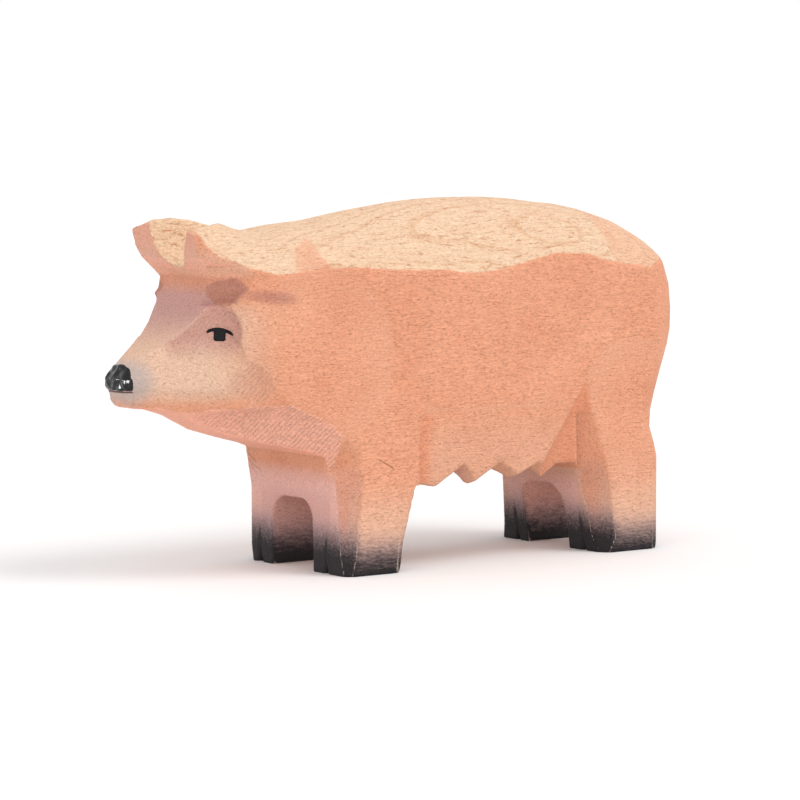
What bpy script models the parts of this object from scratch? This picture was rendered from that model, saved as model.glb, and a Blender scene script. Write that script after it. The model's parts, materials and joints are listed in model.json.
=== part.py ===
"""A small wooden sow, carved by hand from one sawn block and then stained and painted.

The block is sawn to the side outline, its back, head and rump are pared to rounded
sections, and knife and gouge cuts make the throat, legs, groin, brow, eyes, ears and
teats. The finished body is then parted by thin cuts into the pieces that a person
would name. X runs from snout to rump, Y across the body, +Z up, with the origin under
the middle of the feet. Sizes are in millimetres until a mesh is made.
"""

import math

import bmesh
import bpy
from mathutils import Matrix, Vector

MM = 0.001
CUT = 0.3  # width of a parting cut

# Main sizes
HALF_LENGTH = 65.0
HALF_WIDTH = 17.5
BACK_HEIGHT = 72.3
BLANK_TOP = 80.0
BELOW = -2.0  # how far a cutter reaches under the floor

# Back: station, height of the ridge, height of the pared edge, half width
BACK_STATIONS = (
    (-72.0, 66.5, 66.3, 11.2), (-54.6, 67.6, 67.0, 11.2), (-53.2, 69.3, 66.2, 11.3),
    (-51.6, 69.6, 63.2, 11.9), (-50.1, 69.8, 62.0, 12.7), (-48.2, 69.5, 60.8, 14.1),
    (-46.2, 69.1, 60.0, 15.5), (-44.0, 68.4, 59.2, 16.4), (-41.8, 67.5, 58.7, 17.0),
    (-39.5, 66.8, 58.2, 17.5), (-36.5, 66.25, 58.4, 17.5), (-29.5, 67.4, 59.2, 17.5),
    (-21.5, 68.15, 59.2, 17.5), (-11.5, 69.95, 58.4, 17.5), (-0.5, 71.5, 58.2, 17.5),
    (4.0, 71.9, 57.5, 17.5), (9.0, 72.2, 57.4, 17.5), (15.0, BACK_HEIGHT, 58.3, 17.5),
    (20.5, BACK_HEIGHT, 59.5, 17.5), (26.5, 72.0, 61.0, 17.5), (34.5, 71.1, 60.9, 17.5),
    (38.5, 70.8, 59.7, 17.5), (44.0, 69.8, 58.6, 17.5), (51.0, 67.8, 57.8, 17.5),
    (56.0, 65.2, 56.8, 17.5), (59.0, 62.9, 54.8, 17.5), (62.0, 59.0, 51.0, 17.5),
    (66.0, 50.0, 43.0, 17.5),
)
BACK_TURN = 50.0  # degrees through which half of the back's section turns
BACK_STEPS = 6

# Plan of the head by height: front on the middle line, corner of the face,
# two points on the cheek, and where the cheek meets the flank
HEAD_LEVELS = (
    (BELOW, (-64.0, 0.0), (-63.6, 2.6), (-55.0, 7.0), (-44.0, 13.6), (-36.5, 17.5)),
    (33.4, (-64.0, 0.0), (-63.6, 2.6), (-55.0, 7.0), (-44.0, 13.6), (-36.5, 17.5)),
    (36.4, (-64.9, 0.0), (-64.5, 3.6), (-55.5, 8.2), (-43.4, 15.0), (-38.0, 17.5)),
    (38.8, (-65.0, 0.0), (-64.8, 3.4), (-56.0, 8.4), (-43.8, 15.2), (-38.6, 17.5)),
    (41.4, (-63.8, 0.0), (-63.2, 2.5), (-55.4, 8.6), (-44.6, 15.2), (-39.2, 17.5)),
    (45.4, (-57.5, 0.0), (-57.1, 5.4), (-51.6, 9.8), (-45.2, 15.4), (-39.5, 17.5)),
    (48.8, (-53.6, 0.0), (-53.0, 7.4), (-49.8, 10.9), (-45.8, 15.4), (-39.5, 17.5)),
    (52.6, (-50.9, 0.0), (-50.2, 9.7), (-48.0, 11.8), (-45.2, 15.5), (-39.5, 17.5)),
    (54.3, (-50.5, 0.0), (-50.2, 9.3), (-47.5, 12.2), (-44.8, 15.7), (-39.5, 17.5)),
    (55.2, (-49.9, 0.0), (-49.4, 9.3), (-47.2, 12.2), (-44.6, 15.7), (-39.5, 17.5)),
    (57.4, (-49.0, 0.0), (-49.0, 9.3), (-46.4, 12.2), (-43.8, 15.7), (-39.5, 17.5)),
    (59.2, (-50.2, 0.0), (-50.7, 9.6), (-48.0, 13.0), (-45.3, 15.8), (-39.5, 17.5)),
    (61.2, (-52.2, 0.0), (-52.6, 10.2), (-49.8, 13.0), (-46.0, 15.6), (-39.5, 17.5)),
    (63.8, (-53.4, 0.0), (-53.8, 10.8), (-50.2, 12.6), (-46.2, 15.4), (-39.5, 17.5)),
    (66.8, (-53.9, 0.0), (-54.3, 11.0), (-50.6, 12.5), (-46.4, 15.3), (-39.5, 17.5)),
    (BLANK_TOP, (-53.9, 0.0), (-54.3, 11.0), (-50.6, 12.5), (-46.4, 15.3), (-39.5, 17.5)),
)

# Rump by height: rearmost point, length and depth of the rounded rear corner
RUMP_LEVELS = (
    (BELOW, 54.6, 3.2, 3.2), (1.2, 55.2, 3.5, 3.5), (19.0, 55.2, 3.5, 3.5),
    (22.0, 54.8, 4.2, 4.5), (25.0, 55.0, 6.5, 7.0), (28.4, 57.2, 10.0, 11.0),
    (32.0, 59.2, 12.0, 12.5), (37.0, 60.9, 12.0, 12.5), (41.8, 62.6, 12.0, 12.5),
    (45.0, 63.3, 12.0, 12.5), (49.2, 63.4, 12.0, 12.5), (54.0, 62.9, 12.0, 12.5),
    (58.0, 61.5, 12.0, 12.5), (62.0, 59.4, 12.0, 12.5), (BLANK_TOP, 46.0, 12.0, 12.5),
)
RUMP_STEPS = 7

# Underside of the sawn outline
THROAT = ((-64.2, 34.4), (-63.4, 33.6), (-62.0, 33.2), (-59.2, 33.2), (-57.0, 32.9),
          (-51.9, 31.0), (-45.0, 27.9), (-36.5, 25.7), (-30.0, 24.2), (-27.2, 23.3),
          (-26.3, 22.5), (-25.4, 20.8), (-24.7, 18.4), (-24.2, 15.0))
FRONT_FOOT = ((-24.0, 0.0), (-11.7, 0.0))
FRONT_LEG_REAR = ((-10.9, 1.0), (-10.4, 4.6), (-9.2, 9.8), (-8.3, 13.9), (-7.6, 16.7))
TEATS = ((-4.6, 16.5), (-0.5, 15.7), (1.2, 15.9), (4.4, 18.2), (6.6, 15.2), (9.1, 15.1),
         (13.5, 18.1), (15.9, 16.4), (19.9, 15.8), (23.3, 17.6), (24.9, 16.0),
         (27.1, 15.9), (30.7, 18.4), (34.0, 18.6))
HIND_LEG_FRONT = ((36.2, 17.0), (37.1, 12.4), (38.2, 8.0), (39.2, 3.0), (39.5, 0.0))

# Openings between the legs: start, end, middle line, width, height
FRONT_OPENING = (-30.0, 2.0, 1.1, 13.7, 13.9)
HIND_OPENING = (30.0, 62.0, 0.4, 13.1, 13.3)
OPENING_ROUND = 4.2

# Pared upright corners of the legs: each corner's place, and the depth from it by height
FORE_CORNER = (-24.0, -HALF_WIDTH)
HIND_CORNER = (39.5, -HALF_WIDTH)
REAR_CORNER = (-10.2, -HALF_WIDTH)
FORE_SHAVE = ((-0.8, BELOW), (-0.9, 0.4), (-1.5, 3.4), (-2.3, 12.0), (-2.9, 19.5))
FORE_SHAVE_FAR = ((-1.6, BELOW), (-1.5, 0.4), (-1.2, 3.4), (-1.2, 15.0), (-0.2, 21.0),
                  (0.6, 23.5))
REAR_SHAVE = ((-0.9, BELOW), (-0.6, 6.0), (0.9, 16.0))
HIND_SHAVE = ((-0.8, BELOW), (-1.2, 0.4), (-2.2, 3.0), (-1.85, 7.7), (-1.35, 14.1),
              (-0.2, 19.7), (0.85, 25.0), (2.0, 28.5))
HIND_SHAVE_FAR = ((-1.4, BELOW), (-1.3, 0.4), (-1.5, 3.0), (-1.5, 14.0), (-1.5, 21.0),
                  (-0.6, 28.0))

# Chest flat: a point on it and the direction of the wood that is cut away
CHEST_FLAT = ((-24.4, -12.64, 19.84), (-0.4245, -0.7484, -0.5093))

# Notches between the teats: distance from the middle where they start, and their rise
NOTCH_FROM = 10.0
NOTCH_RISE = 2.4
NOTCH_SLOPE = 0.85  # how steep the notch's flats are beside the sawn teeth

# Notches that part each foot's two toes: position, height and half width
HOOF_NOTCHES = ((-24.1, -10.4, 4.2, 1.1), (-24.1, 12.6, 5.4, 1.9),
                (39.4, -11.2, 3.6, 1.2), (39.4, 10.6, 3.4, 1.2))

# Cuts that the far side doesn't repeat
ONE_SIDED = ("udder_groove", "fore_corner", "hind_corner", "chest_corner")

# Eye's flat: a point on it and its outward direction, and the round cut about the eye
EYE_FLAT = (Vector((-49.1, -11.3, 47.2)), Vector((-0.64, -0.75, 0.17)))
EYE_DISC = 6.6
EYE_DISC_AHEAD = 2.1  # how far the round cut is centred ahead of the eye
EYE_DISC_DROP = 0.2

# Painted eye: an arched lid with a squarish pupil below it
EYE_WIDTH = 5.2
EYE_ARCH = 0.75
LID_THICK = 0.65
LID_TAPER = 0.35
PUPIL_WIDTH = 2.3
PUPIL_DROP = 2.0
EYE_DEEP = 0.9

# Brow: the box of the chip, and its two flats, each a point and the direction kept
BROW_LOW, BROW_HIGH = (-50.4, -24.0, 52.6), (-42.0, -4.0, 60.0)
BROW_FLATS = (((-50.0, -9.6, 57.9), (-0.74, -0.60, -0.30)),
              ((-44.9, -14.6, 56.4), (-0.545, 0.545, 0.636)))
BROW_INNER_FAR = -10.6

# Round cuts: start, end, radius at each
JAW_GROOVE = ((-66.0, -3.9, 35.9), (-44.0, -15.9, 34.3), 1.6, 1.9)
GROIN_GROOVE = ((35.3, -17.8, 35.6), (29.2, -20.2, 13.0), 0.3, 8.7)

# Flats under the jaw and the throat, and the one that slims the belly
JAW_FLAT = ((-52.2, -10.0, 32.9), (-0.106, -0.299, -0.948))
THROAT_FLAT = ((-40.3, -17.5, 35.2), (-0.367, -0.429, -0.825))
BELLY_FLAT = ((0.0, -17.5, 31.0), (0.0, -0.99, -0.14))
BELLY_STOP = ((-5.8, -17.5, 31.0), (0.99, 0.0, -0.13))

# Hollow between the ears: position along the head and height of its floor, its spread,
# and how far it leans to the near side for each millimetre up
EAR_FLOOR = ((-60.0, 52.3), (-51.0, 58.9), (-44.5, 63.8), (-36.0, 69.3))
EAR_SPREAD, EAR_LEAN = 2.1, 0.17
EAR_STEP, EAR_STEPS = 1.3, 6

# Flat on top of the near ear, and the box of the wood that it takes off
EAR_FLAT = ((-54.2, -9.2, 66.2), (-0.082, -0.27, 0.962))
EAR_LOW, EAR_HIGH = (-60.0, -24.0, 60.0), (-46.0, -3.5, 78.0)

# Channel between the two rows of teats: half section, middle and length
UDDER_CHANNEL = ((-13.4, 13.0), (13.4, 13.0), (11.6, 19.2), (-11.6, 19.2))
UDDER_MIDDLE, UDDER_LENGTH = 13.2, 40.6

# Tail: a short curl in low relief on the rump
TAIL_LENGTH = 11.0
TAIL_TOP = 58.0
TAIL_SWING = 1.3
TAIL_TURNS = 1.4
TAIL_OUT = 65.0
TAIL_HALF, TAIL_TAPER = 1.5, 0.75
TAIL_BOARD = 6.0
TAIL_STEPS = 14

# Middle of each piece's box, and its name
PIECES = {
    "torso": (18.0, 0.0, 47.0), "neck": (-34.0, 0.0, 46.0), "head": (-52.0, 0.0, 46.0),
    "ear_left": (-50.0, -7.5, 65.0), "ear_right": (-50.0, 7.5, 65.0),
    "nose": (-64.0, 0.0, 39.0),
    "leg_front_left": (-15.5, -9.0, 11.4), "leg_front_right": (-15.5, 9.5, 11.4),
    "leg_hind_left": (45.0, -9.0, 13.5), "leg_hind_right": (45.0, 9.0, 13.5),
    "udder_left": (13.0, -8.0, 18.0), "udder_right": (13.0, 8.0, 18.0),
}
WOOD = (0.80, 0.47, 0.33)
HOOF = (0.33, 0.20, 0.17)
PALE_WOOD = (0.86, 0.62, 0.40)
GLOSS_BLACK = (0.012, 0.012, 0.014)
SMOOTH_BELOW = math.radians(24.0)  # an edge that turns more than this stays sharp

parts = bpy.data.collections.new("carved_sow")
cutters = bpy.data.collections.new("carved_sow_cutters")


def clear_scene():
    """Remove every object, so that the part starts in an empty scene."""
    for obj in list(bpy.data.objects):
        bpy.data.objects.remove(obj, do_unlink=True)
    for group in (parts, cutters):
        bpy.context.scene.collection.children.link(group)


def as_object(name, shape, group):
    """Turn a bmesh in millimetres into an object in metres and free the bmesh."""
    bmesh.ops.recalc_face_normals(shape, faces=shape.faces)
    bmesh.ops.scale(shape, vec=Vector((MM, MM, MM)), verts=shape.verts)
    mesh = bpy.data.meshes.new(name)
    shape.to_mesh(mesh)
    shape.free()
    obj = bpy.data.objects.new(name, mesh)
    group.objects.link(obj)
    if group is cutters:
        obj.hide_render = True
        obj.display_type = "WIRE"
    return obj


def mirrored(points):
    """Give points on the near side of a plan and the same on the far side, as a ring."""
    near = [(x, -y) for x, y in points]
    far = [(x, y) for x, y in reversed(points) if y > 0.0]
    return near + far


def loft(name, rings, group=cutters):
    """Skin equal rings of points, listed in order, and close both ends."""
    shape = bmesh.new()
    made = [[shape.verts.new(point) for point in ring] for ring in rings]
    count = len(made[0])
    for low, high in zip(made, made[1:]):
        for i in range(count):
            j = (i + 1) % count
            shape.faces.new((low[i], low[j], high[j], high[i]))
    shape.faces.new(reversed(made[0]))
    shape.faces.new(made[-1])
    bmesh.ops.triangulate(shape, faces=[f for f in shape.faces if len(f.verts) == 4])
    return as_object(name, shape, group)


def board(name, outline, thickness, place=None, group=cutters):
    """Saw an outline drawn in X and Z out of a board that is centred on Y."""
    curve = bpy.data.curves.new(name, "CURVE")
    curve.dimensions = "2D"
    curve.fill_mode = "BOTH"
    curve.extrude = thickness / 2 * MM
    line = curve.splines.new("POLY")
    line.points.add(len(outline) - 1)
    for point, (x, z) in zip(line.points, outline):
        point.co = (x * MM, z * MM, 0.0, 1.0)
    line.use_cyclic_u = True
    drawn = bpy.data.objects.new(name + "_outline", curve)
    cutters.objects.link(drawn)
    graph = bpy.context.evaluated_depsgraph_get()
    mesh = bpy.data.meshes.new_from_object(drawn.evaluated_get(graph))
    bpy.data.objects.remove(drawn, do_unlink=True)
    shape = bmesh.new()
    shape.from_mesh(mesh)
    bpy.data.meshes.remove(mesh)
    bmesh.ops.remove_doubles(shape, verts=shape.verts, dist=1e-6)
    bmesh.ops.scale(shape, vec=Vector((1 / MM, 1 / MM, 1 / MM)), verts=shape.verts)
    stand = Matrix.Rotation(math.radians(90), 4, "X")
    bmesh.ops.transform(shape, matrix=(place or Matrix()) @ stand, verts=shape.verts)
    return as_object(name, shape, group)


def chip(name, low, high, *planes):
    """A box trimmed by planes, each a point and the direction that is kept."""
    shape = bmesh.new()
    bmesh.ops.create_cube(shape, size=1.0)
    low, high = Vector(low), Vector(high)
    size = high - low
    bmesh.ops.scale(shape, vec=size, verts=shape.verts)
    bmesh.ops.translate(shape, vec=(low + high) / 2, verts=shape.verts)
    for point, keep in planes:
        everything = shape.verts[:] + shape.edges[:] + shape.faces[:]
        bmesh.ops.bisect_plane(shape, geom=everything, plane_co=Vector(point),
                               plane_no=Vector(keep), clear_inner=True)
        bmesh.ops.delete(shape, geom=shape.faces[:], context="FACES_ONLY")
        hull = bmesh.ops.convex_hull(shape, input=shape.verts[:])
        spare = [v for v in hull["geom_interior"] + hull["geom_unused"]
                 if isinstance(v, bmesh.types.BMVert)]
        bmesh.ops.delete(shape, geom=list(set(spare)), context="VERTS")
        loose = [e for e in shape.edges if not e.link_faces]
        bmesh.ops.delete(shape, geom=loose, context="EDGES")
    return as_object(name, shape, cutters)


def gouge(name, start, end, radius, end_radius=None, sides=20):
    """A round cutter between two points, tapered when it has an end radius."""
    start, end = Vector(start), Vector(end)
    along = end - start
    shape = bmesh.new()
    bmesh.ops.create_cone(shape, cap_ends=True, segments=sides, radius1=radius,
                          radius2=radius if end_radius is None else end_radius,
                          depth=along.length)
    turn = along.to_track_quat("Z", "Y").to_matrix().to_4x4()
    move = Matrix.Translation((start + end) / 2)
    bmesh.ops.transform(shape, matrix=move @ turn, verts=shape.verts)
    return as_object(name, shape, cutters)


def far_side(cutter):
    """Copy a cutter to the far side of the body."""
    shape = bmesh.new()
    shape.from_mesh(cutter.data)
    bmesh.ops.scale(shape, vec=Vector((1 / MM, -1 / MM, 1 / MM)), verts=shape.verts)
    bmesh.ops.reverse_faces(shape, faces=shape.faces)
    return as_object(cutter.name + "_far", shape, cutters)


def carve(body, tools, operation="DIFFERENCE"):
    """Apply cutters to a body one after another and remove them."""
    for tool in tools:
        step = body.modifiers.new(tool.name, "BOOLEAN")
        step.operation = operation
        step.object = tool
        step.solver = "MANIFOLD"
        graph = bpy.context.evaluated_depsgraph_get()
        mesh = bpy.data.meshes.new_from_object(body.evaluated_get(graph))
        body.modifiers.clear()
        old = body.data
        body.data = mesh
        bpy.data.meshes.remove(old)
        bpy.data.objects.remove(tool, do_unlink=True)


def sawn_blank():
    """The block sawn to the line of the throat, legs and belly."""
    under = THROAT + FRONT_FOOT + FRONT_LEG_REAR + TEATS + HIND_LEG_FRONT
    outline = ((-HALF_LENGTH - 5, BLANK_TOP), (-HALF_LENGTH - 5, 34.4)) + under
    outline += ((HALF_LENGTH + 5, 0.0), (HALF_LENGTH + 5, BLANK_TOP))
    return board("body", outline, 2 * HALF_WIDTH, group=parts)


def plan_waste():
    """The wood inside the plan of the head and rump at each height."""
    rings = []
    heights = sorted({row[0] for row in HEAD_LEVELS} | {row[0] for row in RUMP_LEVELS})
    for z in heights:
        head = blend(HEAD_LEVELS, z)
        rear, length, depth = blend(RUMP_LEVELS, z)
        points = list(head)
        for i in range(RUMP_STEPS + 1):
            turn = math.radians(90 * i / RUMP_STEPS)
            points.append((rear - length + length * math.sin(turn),
                           HALF_WIDTH - depth + depth * math.cos(turn)))
        points.append((rear, 0.0))
        rings.append([(x, y, z) for x, y in mirrored(points)])
    return loft("plan", rings)


def blend(rows, height):
    """Read rows of height and values at a height between two of them."""
    for low, high in zip(rows, rows[1:]):
        if height <= high[0]:
            share = (height - low[0]) / (high[0] - low[0])
            return [mixed(a, b, share) for a, b in zip(low[1:], high[1:])]
    return rows[-1][1:]


def mixed(a, b, share):
    """Mix two numbers, or two points."""
    if isinstance(a, tuple):
        return tuple(p + (q - p) * share for p, q in zip(a, b))
    return a + (b - a) * share


def back_waste():
    """The wood under the rounded back, from ear tips to rump."""
    turn = math.radians(BACK_TURN)
    rings = []
    for x, ridge, edge, half in BACK_STATIONS:
        ring = [(x, -half - 3.0, BELOW), (x, -half - 3.0, edge - 8.0)]
        for i in range(-BACK_STEPS, BACK_STEPS + 1):
            angle = turn * i / BACK_STEPS
            across = half * math.sin(angle) / math.sin(turn)
            drop = (ridge - edge) * (1 - math.cos(angle)) / (1 - math.cos(turn))
            ring.append((x, across, ridge - drop))
        ring += [(x, half + 3.0, edge - 8.0), (x, half + 3.0, BELOW)]
        rings.append(ring)
    return loft("back", rings)


def leg_opening(name, start, end, middle, width, height):
    """The round-cornered slot that parts a left leg from a right one."""
    half = width / 2
    outline = [(-half, -2.0), (half, -2.0)]
    for side, first in ((1, 0), (-1, 90)):
        for i in range(6):
            turn = math.radians(first + 18 * i)
            outline.append((side * (half - OPENING_ROUND) + OPENING_ROUND * math.cos(turn),
                            height - OPENING_ROUND + OPENING_ROUND * math.sin(turn)))
    place = Matrix.Translation(((start + end) / 2, middle, 0.0))
    place @= Matrix.Rotation(math.radians(90), 4, "Z")
    return board(name, outline, end - start, place)


def shaved_corner(name, corner, turn, profile, along=11.0):
    """Pare an upright corner: the profile gives its depth by height, outermost line last."""
    outline = list(profile) + [(4.0, profile[-1][1]), (4.0, profile[0][1])]
    place = Matrix.Translation((corner[0], corner[1], 0.0))
    place @= Matrix.Rotation(math.radians(turn), 4, "Z")
    return board(name, outline, along, place)


def ear_groove():
    """The hollow between the ears, a parabola in section that rises to the neck."""
    rings = []
    for x, floor in EAR_FLOOR:
        ring = []
        for i in range(-EAR_STEPS, EAR_STEPS + 1):
            y = EAR_STEP * i
            rise = (y / EAR_SPREAD) ** 2
            ring.append((x, y - EAR_LEAN * rise, floor + rise))
        ring += [(x, 9.0, floor + 30.0), (x, -9.0, floor + 30.0)]
        rings.append(ring)
    return loft("ear_groove", rings)


def hoof_notch(name, x, y, height, width):
    """The small wedge cut up the front of a foot that makes two toes."""
    shape = bmesh.new()
    base = -1.0
    corners = [shape.verts.new(p) for p in
               ((x - 1.5, y - width, base), (x - 1.5, y + width, base),
                (x + 2.4, y, base), (x - 1.5, y, height + 2.0))]
    for a, b, c in ((0, 1, 2), (0, 3, 1), (1, 3, 2), (2, 3, 0)):
        shape.faces.new((corners[a], corners[b], corners[c]))
    return as_object(name, shape, cutters)


def eye_frame():
    """Axes on the eye's flat: X along the lid, Y into the wood, Z up the flat."""
    point, outward = EYE_FLAT
    out = outward.normalized()
    lid = Vector((0, 0, 1)).cross(out).normalized()
    up = out.cross(lid)
    frame = Matrix((lid, -out, up)).transposed().to_4x4()
    frame.translation = point
    return frame


def eye_outline(grow):
    """The arched lid with the square pupil hanging from it."""
    upper, lower = [], []
    for i in range(9):
        share = -1.0 + i / 4
        reach = share * (EYE_WIDTH / 2 + grow)
        arch = EYE_ARCH * (1 - share * share)
        half = LID_THICK / 2 * (1 - LID_TAPER * share * share) + grow
        upper.append((reach, arch + half))
        lower.append((reach, arch - half))
    half = PUPIL_WIDTH / 2 + grow
    drop = EYE_ARCH - LID_THICK / 2 - PUPIL_DROP - grow
    left = [p for p in lower if p[0] < -half]
    right = [p for p in lower if p[0] > half]
    arch_at = EYE_ARCH * (1 - (half / (EYE_WIDTH / 2 + grow)) ** 2) - LID_THICK / 2 - grow
    pupil = [(-half, arch_at), (-half, drop), (half, drop), (half, arch_at)]
    return left + pupil + right + list(reversed(upper))


def eye_piece(name, grow, start, deep, group):
    """The painted eye, or the pocket round it, as a plate on the eye's flat."""
    place = eye_frame() @ Matrix.Translation((0.0, start + deep / 2, 0.0))
    return board(name, eye_outline(grow), deep, place, group)


def head_cuts():
    """Knife and gouge cuts on the near side of the head."""
    point, outward = EYE_FLAT
    out = outward.normalized()
    lid = Vector((0, 0, 1)).cross(out).normalized()
    middle = point - lid * EYE_DISC_AHEAD - Vector((0, 0, EYE_DISC_DROP))
    return [gouge("eye_flat", middle, middle + out * EYE_DISC, EYE_DISC, sides=40),
            gouge("jaw", *JAW_GROOVE, sides=12)]


def brow_cuts():
    """The chip under the near brow, and a shorter one that only marks the far brow."""
    far = chip("brow_short", BROW_LOW, (BROW_HIGH[0], BROW_INNER_FAR, BROW_HIGH[2]), *BROW_FLATS)
    cuts = [chip("brow", BROW_LOW, BROW_HIGH, *BROW_FLATS), far_side(far)]
    bpy.data.objects.remove(far, do_unlink=True)
    return cuts


def throat_cuts():
    """Three flats under the jaw, throat and chest, and the chest's over the shaved corner."""
    throat = chip("throat", (-75.0, -30.0, 16.0), (-24.4, 0.05, 45.0), JAW_FLAT, THROAT_FLAT,
                  CHEST_FLAT)
    corner = chip("chest_corner", (-24.5, -24.0, 19.0), (-16.0, -10.0, 30.0), CHEST_FLAT,
                  (CHEST_FLAT[0], (-0.785, -0.620, 0.0)))
    return [throat, corner]


def body_cuts():
    """Cuts on the near flank, the groin and the legs."""
    belly = chip("belly_side", (-6.6, -25.0, 5.0), (31.0, -10.0, 40.0), BELLY_FLAT, BELLY_STOP)
    return [belly, gouge("groin", *GROIN_GROOVE, sides=16),
            shaved_corner("fore_corner", FORE_CORNER, 225.0, FORE_SHAVE),
            shaved_corner("hind_corner", HIND_CORNER, 225.0, HIND_SHAVE),
            shaved_corner("fore_rear_corner", REAR_CORNER, 295.0, REAR_SHAVE)]


def udder_channel():
    """The flat-topped channel that leaves a narrow row of teats on each side."""
    place = Matrix.Translation((UDDER_MIDDLE, 0.0, 0.0))
    place @= Matrix.Rotation(math.radians(90), 4, "Z")
    return board("udder_groove", UDDER_CHANNEL, UDDER_LENGTH, place)


def udder_cuts():
    """The groove between the two rows of teats, and the knife notch between each two."""
    made = [udder_channel()]
    valleys = [i for i in range(1, len(TEATS) - 2)
               if TEATS[i][1] > max(TEATS[i - 1][1], TEATS[i + 1][1])]
    for i in valleys:
        (xa, za), (x, z), (xb, zb) = TEATS[i - 1:i + 2]
        ridge = Vector((1.2, -8.0, NOTCH_RISE))
        ahead = ridge.cross(Vector((xa - x, 0.0, NOTCH_SLOPE * (za - z))))
        behind = ridge.cross(Vector((xb - x, 0.0, NOTCH_SLOPE * (zb - z))))
        start = (x, -NOTCH_FROM, z + 0.1)
        made.append(chip("teat_notch_%d" % i, (x - 9.0, -22.0, 8.0), (x + 9.0, -6.0, 30.0),
                         (start, ahead if ahead.z < 0 else -ahead),
                         (start, behind if behind.z < 0 else -behind)))
    return made


def parting_cuts():
    """Thin plates along which the whole body falls into its named pieces."""
    wide, gap = 24.0, CUT
    ear_floor, ear_back = 60.6, -45.9
    knee_top, leg_back, hip_top, leg_front = 22.8, -7.0, 27.0, 33.6
    udder_top, mouth, nose_back = 20.6, 36.5, -63.0
    return [
        plate("cut_nape", (-41.0, 0.0, 50.0), 8.0, (wide, 60.0)),
        plate("cut_shoulder", (-27.9, 0.0, 52.0), -3.0, (wide, 62.0)),
        chip("cut_ears_under", (-60.0, -wide, ear_floor), (ear_back + gap, wide, ear_floor + gap)),
        chip("cut_ears_behind", (ear_back, -wide, ear_floor), (ear_back + gap, wide, 76.0)),
        chip("cut_ears_apart", (-60.0, -gap / 2, ear_floor), (ear_back + gap, gap / 2, 76.0)),
        chip("cut_nose_behind", (nose_back, -9.0, mouth), (nose_back + gap, 9.0, 50.0)),
        chip("cut_nose_under", (-70.0, -9.0, mouth), (nose_back + gap, 9.0, mouth + gap)),
        chip("cut_fore_top", (-29.0, -wide, knee_top), (leg_back + gap, wide, knee_top + gap)),
        chip("cut_fore_behind", (leg_back, -wide, 10.0), (leg_back + gap, wide, knee_top + gap)),
        chip("cut_fore_apart", (-29.0, FRONT_OPENING[2], 8.0),
            (leg_back + gap, FRONT_OPENING[2] + gap, knee_top + gap)),
        chip("cut_hind_top", (leg_front, -wide, hip_top), (66.0, wide, hip_top + gap)),
        chip("cut_hind_ahead", (leg_front, -wide, 10.0), (leg_front + gap, wide, hip_top + gap)),
        chip("cut_hind_apart", (leg_front, HIND_OPENING[2], 8.0),
            (66.0, HIND_OPENING[2] + gap, hip_top + gap)),
        chip("cut_udder_top", (leg_back, -wide, udder_top), (leg_front + gap, wide, udder_top + gap)),
        chip("cut_udder_apart", (leg_back, -gap / 2, 10.0),
            (leg_front + gap, gap / 2, udder_top + gap)),
    ]


def loose_pieces(body):
    """Split a body into its separate closed surfaces, as named objects."""
    whole = bmesh.new()
    whole.from_mesh(body.data)
    bmesh.ops.scale(whole, vec=Vector((1 / MM, 1 / MM, 1 / MM)), verts=whole.verts)
    groups, seen = [], set()
    for seed in whole.verts:
        if seed in seen:
            continue
        group, queue = {seed}, [seed]
        while queue:
            for edge in queue.pop().link_edges:
                for vert in edge.verts:
                    if vert not in group:
                        group.add(vert)
                        queue.append(vert)
        seen |= group
        groups.append(group)
    best = {}
    for group in groups:
        spans = [[min(v.co[k] for v in group), max(v.co[k] for v in group)] for k in range(3)]
        middle = Vector([(low + high) / 2 for low, high in spans])
        name = min(PIECES, key=lambda n: (Vector(PIECES[n]) - middle).length)
        if name not in best or len(group) > len(best[name]):
            best[name] = group
    for name, group in best.items():
        piece = bmesh.new()
        copy = {v: piece.verts.new(v.co) for v in group}
        for face in whole.faces:
            if face.verts[0] in group:
                piece.faces.new([copy[v] for v in face.verts])
        as_object(name, piece, parts)
    whole.free()
    bpy.data.objects.remove(body, do_unlink=True)


def carve_tail(body):
    """A short curled tail carved in low relief, kept a hair clear of the rump."""
    near, far = [], []
    for i in range(TAIL_STEPS + 1):
        share = i / TAIL_STEPS
        z = TAIL_TOP - TAIL_LENGTH * share
        middle = TAIL_SWING * math.sin(TAIL_TURNS * math.pi * share)
        half = TAIL_HALF - TAIL_TAPER * share
        near.append((middle - half, z))
        far.append((middle + half, z))
    place = Matrix.Translation((TAIL_OUT - TAIL_BOARD / 2, 0.0, 0.0))
    place @= Matrix.Rotation(math.radians(90), 4, "Z")
    tail = board("tail", near + list(reversed(far)), TAIL_BOARD, place, group=parts)
    rump = bpy.data.objects.new("rump_copy", body.data.copy())
    rump.location.x = CUT * MM
    cutters.objects.link(rump)
    carve(tail, [rump])


def paint(obj, colour, roughness):
    """Give an object its own Principled material."""
    stuff = bpy.data.materials.new(obj.name + "_paint")
    stuff.use_nodes = True
    shader = stuff.node_tree.nodes["Principled BSDF"]
    shader.inputs["Base Color"].default_value = (*colour, 1.0)
    shader.inputs["Roughness"].default_value = roughness
    obj.data.materials.clear()
    obj.data.materials.append(stuff)


def plate(name, centre, lean, size):
    """An upright plate across the body that leans from the vertical by some degrees."""
    across, tall = size
    shape = bmesh.new()
    bmesh.ops.create_cube(shape, size=1.0)
    bmesh.ops.scale(shape, vec=Vector((CUT, 2 * across, tall)), verts=shape.verts)
    turn = Matrix.Rotation(math.radians(lean), 4, "Y")
    bmesh.ops.transform(shape, matrix=Matrix.Translation(centre) @ turn, verts=shape.verts)
    return as_object(name, shape, cutters)


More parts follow.
